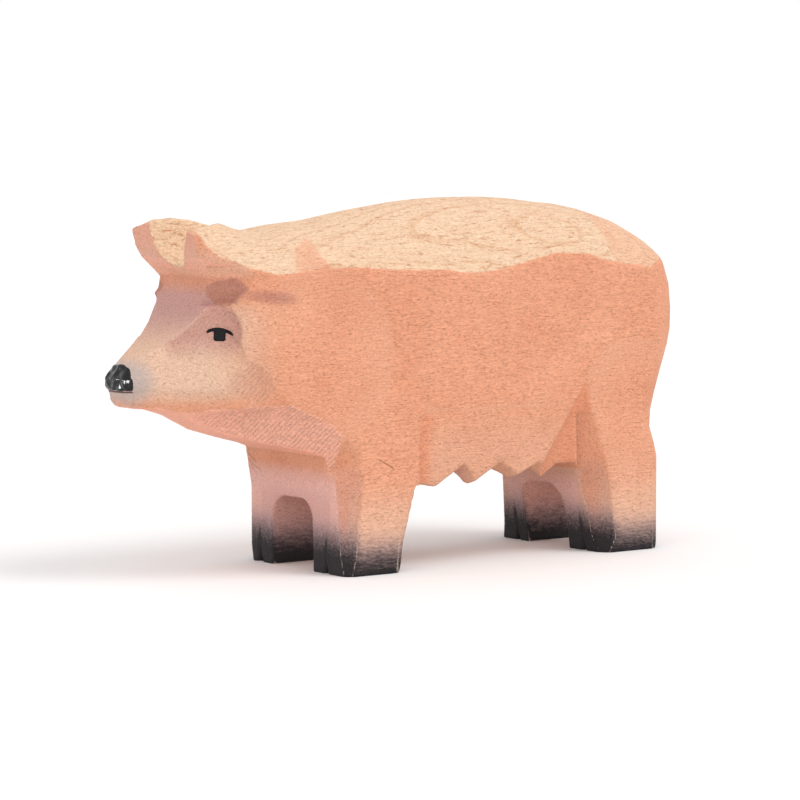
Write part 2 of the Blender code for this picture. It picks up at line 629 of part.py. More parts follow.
def finish_piece(obj):
    """Smooth the round faces of a piece, keep its edges sharp, and paint it."""
    obj.data.shade_smooth()
    obj.data.set_sharp_from_angle(angle=SMOOTH_BELOW)
    colour, roughness = WOOD, 0.62
    if obj.name.startswith("leg"):
        colour, roughness = HOOF, 0.66
    elif obj.name.startswith("ear"):
        colour = PALE_WOOD
    elif obj.name.startswith(("eye", "nose")):
        colour, roughness = GLOSS_BLACK, 0.18
    paint(obj, colour, roughness)


def inlay_eyes(body):
    """Sink a pocket on each side of the head and leave the painted eye in it."""
    pocket = eye_piece("eye_pocket", CUT, -1.0, EYE_DEEP + CUT + 1.0, cutters)
    carve(body, [far_side(pocket), pocket])
    eye = eye_piece("eye_left", 0.0, 0.0, EYE_DEEP, parts)
    other = far_side(eye)
    other.name = "eye_right"
    cutters.objects.unlink(other)
    parts.objects.link(other)
    other.hide_render = False
    other.display_type = "TEXTURED"


def build():
    """Carve the whole body and leave the pieces in the scene."""
    clear_scene()
    body = sawn_blank()
    carve(body, [plan_waste(), back_waste()], "INTERSECT")
    carve(body, [leg_opening("front_opening", *FRONT_OPENING),
                 leg_opening("hind_opening", *HIND_OPENING), ear_groove()])
    carve(body, [chip("ear_top", EAR_LOW, EAR_HIGH, EAR_FLAT)] + brow_cuts())
    for cuts in (head_cuts, body_cuts, udder_cuts, throat_cuts):
        near = cuts()
        far = [far_side(tool) for tool in near if tool.name not in ONE_SIDED]
        carve(body, near + far)
    for name, (x, y), profile in (("fore_far", FORE_CORNER, FORE_SHAVE_FAR),
                                  ("hind_far", HIND_CORNER, HIND_SHAVE_FAR)):
        carve(body, [shaved_corner(name, (x, -y), 135.0, profile)])
    for x, y, height, width in HOOF_NOTCHES:
        carve(body, [hoof_notch("hoof_notch", x, y, height, width)])
    carve_tail(body)
    inlay_eyes(body)
    carve(body, parting_cuts())
    loose_pieces(body)
    for obj in parts.objects:
        finish_piece(obj)


build()
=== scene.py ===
"""Looks of a small wooden sow: one carved wooden skin, thick nose paint and brushed eyes.

The skin is the zero level of a solid worked out with numpy: each sawn line, pared surface
and knife or gouge cut is a function of position that is negative in the wood, and the
largest of them gives the surface. Sizes are in millimetres where nothing else is said.
X runs from snout to rump, Y across the body, where the near side is negative, and Z up.
"""

import json
import logging
import math
from dataclasses import dataclass, field
from enum import Enum
from typing import Callable, Iterable, Iterator

import bpy
import numpy as np
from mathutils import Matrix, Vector

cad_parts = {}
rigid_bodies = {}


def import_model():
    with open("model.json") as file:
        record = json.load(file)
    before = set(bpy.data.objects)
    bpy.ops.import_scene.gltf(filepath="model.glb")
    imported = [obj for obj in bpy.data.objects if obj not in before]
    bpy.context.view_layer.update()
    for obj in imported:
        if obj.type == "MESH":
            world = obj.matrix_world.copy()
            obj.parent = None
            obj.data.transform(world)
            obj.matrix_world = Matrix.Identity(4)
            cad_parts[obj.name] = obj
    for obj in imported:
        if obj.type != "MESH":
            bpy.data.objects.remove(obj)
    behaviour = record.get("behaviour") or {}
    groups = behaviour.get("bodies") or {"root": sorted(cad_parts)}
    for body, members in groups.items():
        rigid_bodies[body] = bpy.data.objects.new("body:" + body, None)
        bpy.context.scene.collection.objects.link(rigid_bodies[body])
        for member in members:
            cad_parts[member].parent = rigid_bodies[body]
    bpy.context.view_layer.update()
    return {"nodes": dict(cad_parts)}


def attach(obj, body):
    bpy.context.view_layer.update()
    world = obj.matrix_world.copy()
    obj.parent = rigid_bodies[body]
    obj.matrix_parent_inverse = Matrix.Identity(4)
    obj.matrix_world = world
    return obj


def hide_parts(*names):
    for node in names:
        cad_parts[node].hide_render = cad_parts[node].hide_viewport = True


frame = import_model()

Array = np.ndarray
Solid = Callable[[Array, Array, Array], Array]
Span = tuple[float, float]
Spot = tuple[float, float]
Point = tuple[float, float, float]
Plane = tuple[Point, Point]
Fade = tuple[Span | None, Span | None]
MM = 0.001
log = logging.getLogger("sow")


class Axis(Enum):
    """The three directions of space, numbered as the columns of a list of points."""

    X = 0
    Y = 1
    Z = 2


class Side(Enum):
    """The two sides of the body. The value turns a place on the near side to either."""

    NEAR = 1.0
    FAR = -1.0


class Sum(Enum):
    """What a shading node works out from its inputs."""

    TIMES = "MULTIPLY"
    TIMES_PLUS = "MULTIPLY_ADD"
    LESS = "SUBTRACT"
    SIZE = "ABSOLUTE"
    WAVE = "SINE"
    PART = "FRACT"
    DOT = "DOT_PRODUCT"


class Ramp(Enum):
    """How a value rises between two limits."""

    STRAIGHT = "LINEAR"
    EASED = "SMOOTHSTEP"


class Blend(Enum):
    """How one colour is laid over another."""

    TINT = "MULTIPLY"


def worn_max(a: Array, b: Array, wear: float) -> Array:
    """Return the larger of two distances, with the edge between them rubbed round.

    Formula: the larger one, plus a quarter of wear times the square of how far the two
    are within wear of each other.

    Args:
        a: First signed distance in mm.
        b: Second signed distance in mm.
        wear: Width of the rubbed edge in mm.

    Returns:
        The joined distance.
    """
    near = np.maximum(wear - np.abs(a - b), 0.0) / wear
    return np.maximum(a, b) + near * near * wear / 4


def ease(value: Array, low: float, high: float) -> Array:
    """Rise smoothly from 0 at low to 1 at high, as three squares less two cubes.

    Args:
        value: What the rise follows.
        low: Where it starts.
        high: Where it is full. If this is low itself, the rise is a step.

    Returns:
        The rise, from 0 to 1.
    """
    if low == high:
        return np.where(value < low, 0.0, 1.0)
    share = np.clip((value - low) / (high - low), 0.0, 1.0)
    return share * share * (3 - 2 * share)


def fade(value: Array, rise: Span | None, fall: Span | None = None) -> Array:
    """Come in over one stretch of a value and go out over a later one.

    Args:
        value: What the shade follows.
        rise: Where the shade starts and where it is full, or None if it is always full.
        fall: Where the shade starts to go and where it is gone, or None if it stays.

    Returns:
        Strength from 0 to 1.
    """
    shade = 1.0 if rise is None else ease(value, *rise)
    return shade if fall is None else shade * (1 - ease(value, *fall))


def between(axis: Axis, low: float | None, high: float | None) -> tuple[Plane, ...]:
    """Keep a stretch of an axis by flats that are square to it.

    Args:
        axis: The axis.
        low: Where the stretch starts in mm, or None if it has no start.
        high: Where the stretch ends in mm, or None if it has no end.

    Returns:
        One flat or two, each a point on it and its outward direction.
    """
    flats = []
    for place, way in ((low, -1.0), (high, 1.0)):
        if place is not None:
            point, out = [0.0] * len(Axis), [0.0] * len(Axis)
            point[axis.value], out[axis.value] = place, way
            flats.append((tuple(point), tuple(out)))
    return tuple(flats)


@dataclass(frozen=True)
class Outline:
    """A closed line drawn in one plane."""

    points: tuple[Spot, ...]

    def distance(self, u: Array, v: Array) -> Array:
        """Distance to the nearest side of the outline, negative inside it.

        Args:
            u: Places along the first axis in mm.
            v: Places along the second axis in mm.

        Returns:
            Signed distances in mm.
        """
        u, v = np.broadcast_arrays(u, v)
        best = np.full(u.shape, np.inf)
        inside = np.zeros(u.shape, bool)
        for (au, av), (bu, bv) in zip(self.points, self.points[1:] + self.points[:1]):
            du, dv = bu - au, bv - av
            share = np.clip(((u - au) * du + (v - av) * dv) / (du * du + dv * dv), 0.0, 1.0)
            best = np.minimum(best, (u - au - du * share) ** 2 + (v - av - dv * share) ** 2)
            if dv != 0.0:
                crosses = (av <= v) != (bv <= v)
                inside ^= crosses & (u < au + du * (v - av) / dv)
        return np.where(inside, -1.0, 1.0) * np.sqrt(best)


@dataclass(frozen=True)
class Flats:
    """Wood trimmed by flat cuts, each a point on the flat and its outward direction."""

    flats: tuple[Plane, ...]

    def distance(self, x: Array, y: Array, z: Array) -> Array:
        """The largest of the distances from the flats, negative behind all of them.

        Args:
            x, y, z: Places in mm.

        Returns:
            Signed distances in mm.
        """
        result = None
        for (px, py, pz), way in self.flats:
            nx, ny, nz = np.array(way) / np.linalg.norm(way)
            reach = nx * (x - px) + ny * (y - py) + nz * (z - pz)
            result = reach if result is None else np.maximum(result, reach)
        return result


@dataclass(frozen=True)
class Gouge:
    """A round cut between two points, with a radius at each."""

    start: Point
    end: Point
    radius: float
    end_radius: float

    def distance(self, x: Array, y: Array, z: Array) -> Array:
        """Distance from the axis less the radius there, and the two ends.

        Args:
            x, y, z: Places in mm.

        Returns:
            Signed distances in mm.
        """
        start, end = np.array(self.start), np.array(self.end)
        along = end - start
        length = np.linalg.norm(along)
        along = along / length
        dx, dy, dz = x - start[0], y - start[1], z - start[2]
        run = dx * along[0] + dy * along[1] + dz * along[2]
        off = np.sqrt(np.maximum(dx * dx + dy * dy + dz * dz - run * run, 0.0))
        radius = self.radius + (self.end_radius - self.radius) * run / length
        return np.maximum(off - radius, np.maximum(-run, run - length))


@dataclass(frozen=True)
class Dish:
    """A very shallow round hollow, left by a knife drawn flat over the wood."""

    centre: Point
    way: Point
    reach: float
    depth: float
    past_rim: float = 1.15

    def distance(self, x: Array, y: Array, z: Array) -> Array:
        """Distance to a large ball that dips in by the depth, within reach of its centre.

        Args:
            x, y, z: Places in mm.

        Returns:
            Signed distances in mm.
        """
        way = np.array(self.way) / np.linalg.norm(self.way)
        radius = (self.reach ** 2 + self.depth ** 2) / (2 * self.depth)
        result = None
        for push, size in ((radius - self.depth, radius), (0.0, self.reach * self.past_rim)):
            cx, cy, cz = np.array(self.centre) + way * push
            ball = np.sqrt((x - cx) ** 2 + (y - cy) ** 2 + (z - cz) ** 2) - size
            result = ball if result is None else np.maximum(result, ball)
        return result


@dataclass(frozen=True)
class ShavedCorner:
    """An upright corner pared off, by rows of a depth from the corner and a height."""

    x: float
    y: float
    turn: float
    profile: tuple[Spot, ...]
    along: float = 11.0

    def distance(self, x: Array, y: Array, z: Array) -> Array:
        """Depth at that height less the reach towards the corner, within its ends.

        Args:
            x, y, z: Places in mm.

        Returns:
            Signed distances in mm.
        """
        turn = math.radians(self.turn)
        reach = (x - self.x) * math.cos(turn) + (y - self.y) * math.sin(turn)
        across = (y - self.y) * math.cos(turn) - (x - self.x) * math.sin(turn)
        depth = np.interp(z, [row[1] for row in self.profile], [row[0] for row in self.profile])
        side = np.maximum(depth - reach, np.abs(across) - self.along / 2)
        return np.maximum(side, z - self.profile[-1][1])


@dataclass(frozen=True)
class LegOpening:
    """The slot between a left and a right leg, with round upper corners."""

    start: float
    end: float
    middle: float
    width: float
    height: float
    rounding: float = 4.2

    def distance(self, x: Array, y: Array, z: Array) -> Array:
        """Distance to a box with round upper corners, in the plane across the body.

        Args:
            x, y, z: Places in mm.

        Returns:
            Signed distances in mm.
        """
        side = np.abs(y - self.middle) - (self.width / 2 - self.rounding)
        top = z - (self.height - self.rounding)
        outside = np.hypot(np.maximum(side, 0.0), np.maximum(top, 0.0))
        slot = outside + np.minimum(np.maximum(side, top), 0.0) - self.rounding
        return np.maximum(slot, np.maximum(self.start - x, x - self.end))


@dataclass(frozen=True)
class Block:
    """The sawn block and the pared head, rump and back.

    The underside and the ears' floor are rows of x and height. A row of back_stations is x,
    the heights of the ridge and of the flank's edge, and half the width. A row of
    head_levels is a height and five corners, each x and how far out. A row of rump_levels
    is a height, the rear's x, and how long and how deep its corners are.
    """

    half_length: float = 65.0
    half_width: float = 17.5
    top: float = 80.0
    spare: float = 5.0
    underside: tuple[Spot, ...] = (
        (-64.2, 34.4), (-63.4, 33.6), (-62.0, 33.2), (-59.2, 33.2), (-57.0, 32.9),
        (-51.9, 31.0), (-45.0, 27.9), (-36.5, 25.7), (-30.0, 24.2), (-27.2, 23.3),
        (-26.3, 22.5), (-25.4, 20.8), (-24.7, 18.4), (-24.2, 15.0), (-24.0, 0.0), (-11.7, 0.0),
        (-10.9, 1.0), (-10.4, 4.6), (-9.2, 9.8), (-8.3, 13.9), (-7.6, 16.7),
        (-4.6, 16.5), (-0.5, 15.7), (1.2, 15.9), (4.4, 18.2), (6.6, 15.2), (9.1, 15.1),
        (13.5, 18.1), (15.9, 16.4), (19.9, 15.8), (23.3, 17.6), (24.9, 16.0),
        (27.1, 15.9), (30.7, 18.4), (34.0, 18.6), (36.2, 17.0), (37.1, 12.4),
        (38.2, 8.0), (39.2, 3.0), (39.5, 0.0),
    )
    back_stations: tuple[tuple[float, float, float, float], ...] = (
        (-72.0, 66.5, 66.3, 11.2), (-54.6, 67.6, 67.0, 11.2), (-53.2, 69.3, 66.2, 11.3),
        (-51.6, 69.6, 63.2, 11.9), (-50.1, 69.8, 62.0, 12.7), (-48.2, 69.5, 60.8, 14.1),
        (-46.2, 69.1, 60.0, 15.5), (-44.0, 68.4, 59.2, 16.4), (-41.8, 67.5, 58.7, 17.0),
        (-39.5, 66.8, 58.2, 17.5), (-36.5, 66.25, 58.4, 17.5), (-29.5, 67.4, 59.2, 17.5),
        (-21.5, 68.15, 59.2, 17.5), (-11.5, 69.95, 58.4, 17.5), (-0.5, 71.5, 58.2, 17.5),
        (4.0, 71.9, 57.5, 17.5), (9.0, 72.2, 57.4, 17.5), (15.0, 72.3, 58.3, 17.5),
        (20.5, 72.3, 59.5, 17.5), (26.5, 72.0, 61.0, 17.5), (34.5, 71.1, 60.9, 17.5),
        (38.5, 70.8, 59.7, 17.5), (44.0, 69.8, 58.6, 17.5), (51.0, 67.8, 57.8, 17.5),
        (56.0, 65.2, 56.8, 17.5), (59.0, 62.9, 54.8, 17.5), (62.0, 59.0, 51.0, 17.5),
        (66.0, 50.0, 43.0, 17.5),
    )
    back_turn: float = 50.0
    back_ease: float = 1.8
    back_run: Span = (-74.0, 68.0)
    back_step: float = 0.25
    back_slope: float = 0.8
    edge_slope: float = 8.0 / 3.0
    head_slope: float = 0.75
    head_levels: tuple = (
        (-2.0, (-64.0, 0.0), (-63.6, 2.6), (-55.0, 7.0), (-44.0, 13.6), (-36.5, 17.5)),
        (33.4, (-64.0, 0.0), (-63.6, 2.6), (-55.0, 7.0), (-44.0, 13.6), (-36.5, 17.5)),
        (36.4, (-64.9, 0.0), (-64.5, 3.6), (-55.5, 8.2), (-43.4, 15.0), (-38.0, 17.5)),
        (38.8, (-65.0, 0.0), (-64.8, 3.4), (-56.0, 8.4), (-43.8, 15.2), (-38.6, 17.5)),
        (41.4, (-63.8, 0.0), (-63.2, 2.5), (-55.4, 8.6), (-44.6, 15.2), (-39.2, 17.5)),
        (45.4, (-57.5, 0.0), (-57.1, 5.4), (-51.6, 9.8), (-45.2, 15.4), (-39.5, 17.5)),
        (48.8, (-53.6, 0.0), (-53.0, 7.4), (-49.8, 10.9), (-45.8, 15.4), (-39.5, 17.5)),
        (52.6, (-50.9, 0.0), (-50.2, 9.7), (-48.0, 11.8), (-45.2, 15.5), (-39.5, 17.5)),
        (54.3, (-50.5, 0.0), (-50.2, 9.3), (-47.5, 12.2), (-44.8, 15.7), (-39.5, 17.5)),
        (55.2, (-49.9, 0.0), (-49.4, 9.3), (-47.2, 12.2), (-44.6, 15.7), (-39.5, 17.5)),
        (57.4, (-49.0, 0.0), (-49.0, 9.3), (-46.4, 12.2), (-43.8, 15.7), (-39.5, 17.5)),
        (59.2, (-50.2, 0.0), (-50.7, 9.6), (-48.0, 13.0), (-45.3, 15.8), (-39.5, 17.5)),
        (61.2, (-52.2, 0.0), (-52.6, 10.2), (-49.8, 13.0), (-46.0, 15.6), (-39.5, 17.5)),
        (63.8, (-53.4, 0.0), (-53.8, 10.8), (-50.2, 12.6), (-46.2, 15.4), (-39.5, 17.5)),
        (66.8, (-53.9, 0.0), (-54.3, 11.0), (-50.6, 12.5), (-46.4, 15.3), (-39.5, 17.5)),
        (80.0, (-53.9, 0.0), (-54.3, 11.0), (-50.6, 12.5), (-46.4, 15.3), (-39.5, 17.5)),
    )
    rump_levels: tuple[tuple[float, float, float, float], ...] = (
        (-2.0, 54.6, 3.2, 3.2), (1.2, 55.2, 3.5, 3.5), (19.0, 55.2, 3.5, 3.5),
        (22.0, 54.8, 4.2, 4.5), (25.0, 55.0, 6.5, 7.0), (28.4, 57.2, 10.0, 11.0),
        (32.0, 59.2, 12.0, 12.5), (37.0, 60.9, 12.0, 12.5), (41.8, 62.6, 12.0, 12.5),
        (45.0, 63.3, 12.0, 12.5), (49.2, 63.4, 12.0, 12.5), (54.0, 62.9, 12.0, 12.5),
        (58.0, 61.5, 12.0, 12.5), (62.0, 59.4, 12.0, 12.5), (80.0, 46.0, 12.0, 12.5),
    )
    ear_floor: tuple[Spot, ...] = (
        (-60.0, 52.3), (-51.0, 58.9), (-44.5, 63.8), (-36.0, 69.3), (-28.0, 75.0))
    ear_spread: float = 2.1
    ear_lean: float = 0.17
    ear_slope: float = 1.4
    ear_wear: float = 0.2
    nape_wear: float = 0.4
    nape: Span = (-47.0, -42.0)
    rump_flat: float = 0.7
    rump_blend: Span = (0.0, 0.3)

    def sawn(self, x: Array, y: Array, z: Array) -> Array:
        """The block sawn to the line of throat, legs and belly, and its two flat sides.

        Args:
            x, y, z: Places in mm.

        Returns:
            Signed distances in mm.
        """
        reach = self.half_length + self.spare
        points = ((-reach, self.top), (-reach, self.underside[0][1])) + self.underside
        points += ((reach, 0.0), (reach, self.top))
        return np.maximum(Outline(points).distance(x, z), np.abs(y) - self.half_width)

    def head_corner(self, z: Array, k: int) -> list[Array]:
        """Read where a corner of the head's plan is at each height.

        Args:
            z: Heights in mm.
            k: Which corner, from 1 at the middle to 5 at the side.

        Returns:
            Its x and how far out it is, in mm.
        """
        heights = [row[0] for row in self.head_levels]
        return [np.interp(z, heights, [row[k][c] for row in self.head_levels]) for c in (0, 1)]

    def head(self, x: Array, y: Array, z: Array) -> Array:
        """The head's front: at each height a line of four straight stretches to the side.

        Args:
            x, y, z: Places in mm.

        Returns:
            Signed distances in mm.
        """
        side = np.abs(y)
        corners = [self.head_corner(z, k) for k in range(1, 6)]
        front = corners[0][0]
        for (ax, ay), (bx, by) in zip(corners, corners[1:]):
            front = front + np.clip((side - ay) / (by - ay), 0.0, 1.0) * (bx - ax)
        return (front - x) * self.head_slope

    def rump(self, x: Array, y: Array, z: Array) -> Array:
        """The rump's end: a flat middle and a quarter ellipse round each rear corner.

        Args:
            x, y, z: Places in mm.

        Returns:
            Signed distances in mm.
        """
        heights = [row[0] for row in self.rump_levels]
        rear, length, depth = (np.interp(z, heights, [row[k] for row in self.rump_levels])
                               for k in (1, 2, 3))
        u = np.maximum((x - rear + length) / length, 0.0)
        v = np.maximum((np.abs(y) - self.half_width + depth) / depth, 0.0)
        flat = self.rump_flat * (1 - ease(u, *self.rump_blend))
        return (np.hypot(u, v) - 1.0) * np.sqrt(length * depth) - flat

    def along_back(self, x: Array, column: int) -> Array:
        """Read a column of the back's stations at x, eased over a few millimetres.

        Args:
            x: Places along the body in mm.
            column: Which number of a station to read.

        Returns:
            That number at each place.
        """
        fine = np.arange(*self.back_run, self.back_step)
        row = np.interp(fine, [s[0] for s in self.back_stations],
                        [s[column] for s in self.back_stations])
        window = np.hanning(2 * int(self.back_ease / self.back_step) + 1)
        pad = len(window) // 2
        eased = np.convolve(np.pad(row, pad, mode="edge"), window / window.sum(), "valid")
        return np.interp(x, fine, eased)

    def back(self, x: Array, y: Array, z: Array) -> Array:
        """The pared back: an arc in section that falls from the ridge to the flank's edge.

        Args:
            x, y, z: Places in mm.

        Returns:
            Signed distances in mm.
        """
        ridge, edge, half = (self.along_back(x, k) for k in (1, 2, 3))
        turn = math.radians(self.back_turn)
        side = np.abs(y)
        sine = np.minimum(side / half, 1.0) * math.sin(turn)
        drop = (ridge - edge) * (1.0 - np.sqrt(1.0 - sine * sine)) / (1.0 - math.cos(turn))
        beyond = np.maximum(side - half, 0.0) * self.edge_slope
        return (z - (ridge - drop - beyond)) * self.back_slope

    def ears(self, x: Array, y: Array, z: Array) -> Array:
        """The hollow between the ears: over a parabola that leans to the near side.

        Formula: the height over the parabola, divided by its steepness there.

        Args:
            x, y, z: Places in mm.

        Returns:
            Signed distances in mm.
        """
        floor = np.interp(x, [row[0] for row in self.ear_floor],
                          [row[1] for row in self.ear_floor])
        across = y + self.ear_lean * (z - floor)
        steep = np.sqrt(self.ear_slope + (2 * across / self.ear_spread ** 2) ** 2)
        hollow = (z - floor - (across / self.ear_spread) ** 2) / steep
        wear = self.ear_wear + self.nape_wear * ease(x, *self.nape)
        return worn_max(hollow, self.back(x, y, z), wear)


@dataclass(frozen=True)
class Carving:
    """Every cut that the knife and gouge make in the pared block, and the tail's relief.

    A row of teats is x and height of the teat ahead, of the valley, and of the teat behind.
    A row of toes is the place of a notch, its height and half its width. The nose's seat is
    where it starts, and the heights that it lies between.
    """

    block: Block = field(default_factory=Block)
    wear: float = 0.55
    eye_point: Point = (-49.1, -11.3, 47.2)
    eye_way: Point = (-0.64, -0.75, 0.17)
    eye_disc: float = 6.6
    eye_out: float = 6.0
    eye_ahead: float = 2.1
    eye_drop: float = 0.2
    jaw_groove: Gouge = Gouge((-66.0, -3.9, 35.9), (-44.0, -15.9, 34.3), 1.6, 1.9)
    groin_groove: Gouge = Gouge((35.3, -17.8, 35.6), (29.2, -20.2, 13.0), 0.3, 8.7)
    belly_run: Span = (-6.6, 31.0)
    belly_low: float = 5.0
    belly_flat: Plane = ((0.0, -17.5, 31.0), (0.0, 0.99, 0.14))
    belly_stop: Plane = ((-5.8, -17.5, 31.0), (-0.99, 0.0, 0.13))
    throat_low: float = 16.0
    throat_end: float = -24.4
    jaw_flat: Plane = ((-52.2, -10.0, 32.9), (0.106, 0.299, 0.948))
    throat_flat: Plane = ((-40.3, -17.5, 35.2), (0.367, 0.429, 0.825))
    chest_flat: Plane = ((-24.4, -12.64, 19.84), (0.4245, 0.7484, 0.5093))
    corner_flat: Plane = ((-24.4, -12.64, 19.84), (0.785, 0.620, 0.0))
    corner_start: Point = (-24.5, -8.0, 19.0)
    ear_flat: Plane = ((-54.2, -9.2, 66.2), (0.082, 0.27, -0.962))
    ear_rear: float = -46.0
    ear_inner: float = -3.5
    brow_run: Span = (-50.4, -42.0)
    brow_height: Span = (52.6, 60.0)
    brow_flats: tuple[Plane, ...] = (((-50.0, -9.6, 57.9), (0.74, 0.60, 0.30)),
                                     ((-44.9, -14.6, 56.4), (0.545, -0.545, -0.636)))
    brow_inner: float = 4.0
    far_brow_inner: float = 10.6
    fore_arch: LegOpening = LegOpening(-30.0, 2.0, 1.1, 13.7, 13.9)
    hind_arch: LegOpening = LegOpening(30.0, 62.0, 0.4, 13.1, 13.3)
    rear_corner: ShavedCorner = ShavedCorner(
        -10.2, -17.5, 295.0, ((-0.9, -2.0), (-0.6, 6.0), (0.9, 16.0)))
    fore_near: ShavedCorner = ShavedCorner(
        -24.0, -17.5, 225.0, ((-0.8, -2.0), (-0.9, 0.4), (-1.5, 3.4), (-2.3, 12.0), (-2.9, 19.5)))
    hind_near: ShavedCorner = ShavedCorner(
        39.5, -17.5, 225.0, ((-0.8, -2.0), (-1.2, 0.4), (-2.2, 3.0), (-1.85, 7.7),
                             (-1.35, 14.1), (-0.2, 19.7), (0.85, 25.0), (2.0, 28.5)))
    fore_far: ShavedCorner = ShavedCorner(
        -24.0, 17.5, 135.0, ((-1.6, -2.0), (-1.5, 0.4), (-1.2, 3.4), (-1.2, 15.0),
                             (-0.2, 21.0), (0.6, 23.5)))
    hind_far: ShavedCorner = ShavedCorner(
        39.5, 17.5, 135.0, ((-1.4, -2.0), (-1.3, 0.4), (-1.5, 3.0), (-1.5, 14.0),
                            (-1.5, 21.0), (-0.6, 28.0)))
    teats: tuple = ((1.2, 15.9, 4.4, 18.2, 6.6, 15.2), (9.1, 15.1, 13.5, 18.1, 15.9, 16.4),
                    (19.9, 15.8, 23.3, 17.6, 24.9, 16.0))
    notch_way: Point = (1.2, -8.0, 2.4)
    notch_from: float = 10.0
    notch_end: float = -6.0
    notch_low: float = 8.0
    notch_reach: float = 8.0
    notch_lift: float = 0.1
    notch_slope: float = 0.85
    toes: tuple = ((-24.1, -10.4, 4.2, 1.1), (-24.1, 12.6, 5.4, 1.9),
                   (39.4, -11.2, 3.6, 1.2), (39.4, 10.6, 3.4, 1.2))
    toe_ahead: float = 1.5
    toe_behind: float = 2.4
    toe_over: float = 2.0
    toe_under: float = 1.0
    dishes: dict = field(default_factory=lambda: {
        "shoulder": Dish((-30.0, -17.5, 42.5), (0.0, -1.0, 0.0), 15.0, 0.16),
        "jowl": Dish((-43.6, -14.9, 37.3), (-0.47, -0.87, -0.15), 4.6, 0.6),
        "cheek": Dish((-52.0, -10.2, 41.4), (-0.52, -0.84, 0.14), 7.0, 0.25),
        "haunch": Dish((47.0, -17.5, 30.0), (0.0, -1.0, 0.0), 12.0, 0.14)})
    channel: Outline = Outline(((-13.4, 8.0), (13.4, 8.0), (13.4, 13.0), (11.6, 19.2),
                                (-11.6, 19.2), (-13.4, 13.0)))
    channel_run: Span = (-7.1, 33.5)
    tail_top: float = 58.0
    tail_length: float = 11.0
    tail_out: float = 65.0
    tail_root: float = 50.0
    tail_swing: float = 1.3
    tail_turns: float = 1.4
    tail_half: float = 1.5
    tail_taper: float = 0.75
    tail_crown: float = 0.9
    tail_wear: float = 0.3
    nose_seat: Point = (-64.0, 36.8, 42.0)
    seat_rim: Span = (0.0, 0.5)
    seat_foot: Span = (0.0, 0.3)
    seat_depth: float = 0.3

    def eye_axes(self) -> tuple[Array, Array, Array, Array]:
        """Find the flat that each eye is painted on.

        Returns:
            A point on the flat, and its directions along the lid, outwards and up.
        """
        out = np.array(self.eye_way) / np.linalg.norm(self.eye_way)
        lid = np.cross((0.0, 0.0, 1.0), out)
        lid = lid / np.linalg.norm(lid)
        return np.array(self.eye_point), lid, out, np.cross(out, lid)

    def eye_cut(self) -> Gouge:
        """The round cut about the eye, whose floor is the eye's flat."""
        point, lid, out, _ = self.eye_axes()
        middle = point - lid * self.eye_ahead - np.array((0.0, 0.0, self.eye_drop))
        return Gouge(tuple(middle), tuple(middle + out * self.eye_out), self.eye_disc,
                     self.eye_disc)

    def twin_cuts(self) -> dict:
        """Gather the cuts that both sides have.

        Returns:
            Each cut by its name, on the near side, where y is negative.
        """
        belly = Flats(between(Axis.X, *self.belly_run) + between(Axis.Z, self.belly_low, None)
                      + (self.belly_flat, self.belly_stop))
        throat = Flats(between(Axis.Z, self.throat_low, None)
                       + between(Axis.X, None, self.throat_end)
                       + (self.jaw_flat, self.throat_flat, self.chest_flat))
        made = {"eye": self.eye_cut(), "jaw": self.jaw_groove, "belly": belly,
                "groin": self.groin_groove, "rear": self.rear_corner, "throat": throat}
        made.update(self.dishes)
        for i, teats in enumerate(self.teats):
            made["notch_%d" % i] = self.teat_notch(*teats)
        return made

    def teat_notch(self, ahead_x: float, ahead_z: float, x: float, z: float,
                   behind_x: float, behind_z: float) -> Flats:
        """Notch the wood between two teats by two flats that meet on a rising line.

        Args:
            ahead_x, ahead_z: Lowest point of the teat ahead in mm.
            x, z: Top of the sawn valley in mm.
            behind_x, behind_z: Lowest point of the teat behind in mm.

        Returns:
            The notch on the near side.
        """
        flats = (between(Axis.Y, None, self.notch_end) + between(Axis.Z, self.notch_low, None)
                 + between(Axis.X, x - self.notch_reach, x + self.notch_reach))
        for end_x, end_z in ((ahead_x, ahead_z), (behind_x, behind_z)):
            way = np.cross(self.notch_way, (end_x - x, 0.0, self.notch_slope * (end_z - z)))
            way = way if way[2] > 0 else -way
            flats += (((x, -self.notch_from, z + self.notch_lift), tuple(way)),)
        return Flats(flats)

    def brow(self, side: Side, inner: float) -> Flats:
        """Chip the wood under a brow; the chip's inner wall is the dark flat over the eye.

        Args:
            side: Side of the head.
            inner: How far from the middle the chip ends in mm.

        Returns:
            The chip.
        """
        turn = side.value
        flats = between(Axis.X, *self.brow_run) + between(Axis.Z, *self.brow_height)
        flats += (((0.0, -inner * turn, 0.0), (0.0, turn, 0.0)),)
        flats += tuple(((px, py * turn, pz), (nx, ny * turn, nz))
                       for (px, py, pz), (nx, ny, nz) in self.brow_flats)
        return Flats(flats)

    def toe_notch(self, x: float, y: float, height: float, width: float) -> Flats:
        """Cut a small wedge up the front of a foot, which makes two toes.

        Args:
            x, y: Place of the wedge at the foot's front in mm.
            height: About how high it reaches in mm.
            width: About half its width at the floor in mm.

        Returns:
            The wedge.
        """
        point = (x + self.toe_behind, y, -self.toe_under)
        length = self.toe_ahead + self.toe_behind
        rise = length * width / (height + self.toe_over + self.toe_under)
        return Flats(between(Axis.X, x - self.toe_ahead, None)
                     + ((point, (width, -length, rise)), (point, (width, length, rise))))

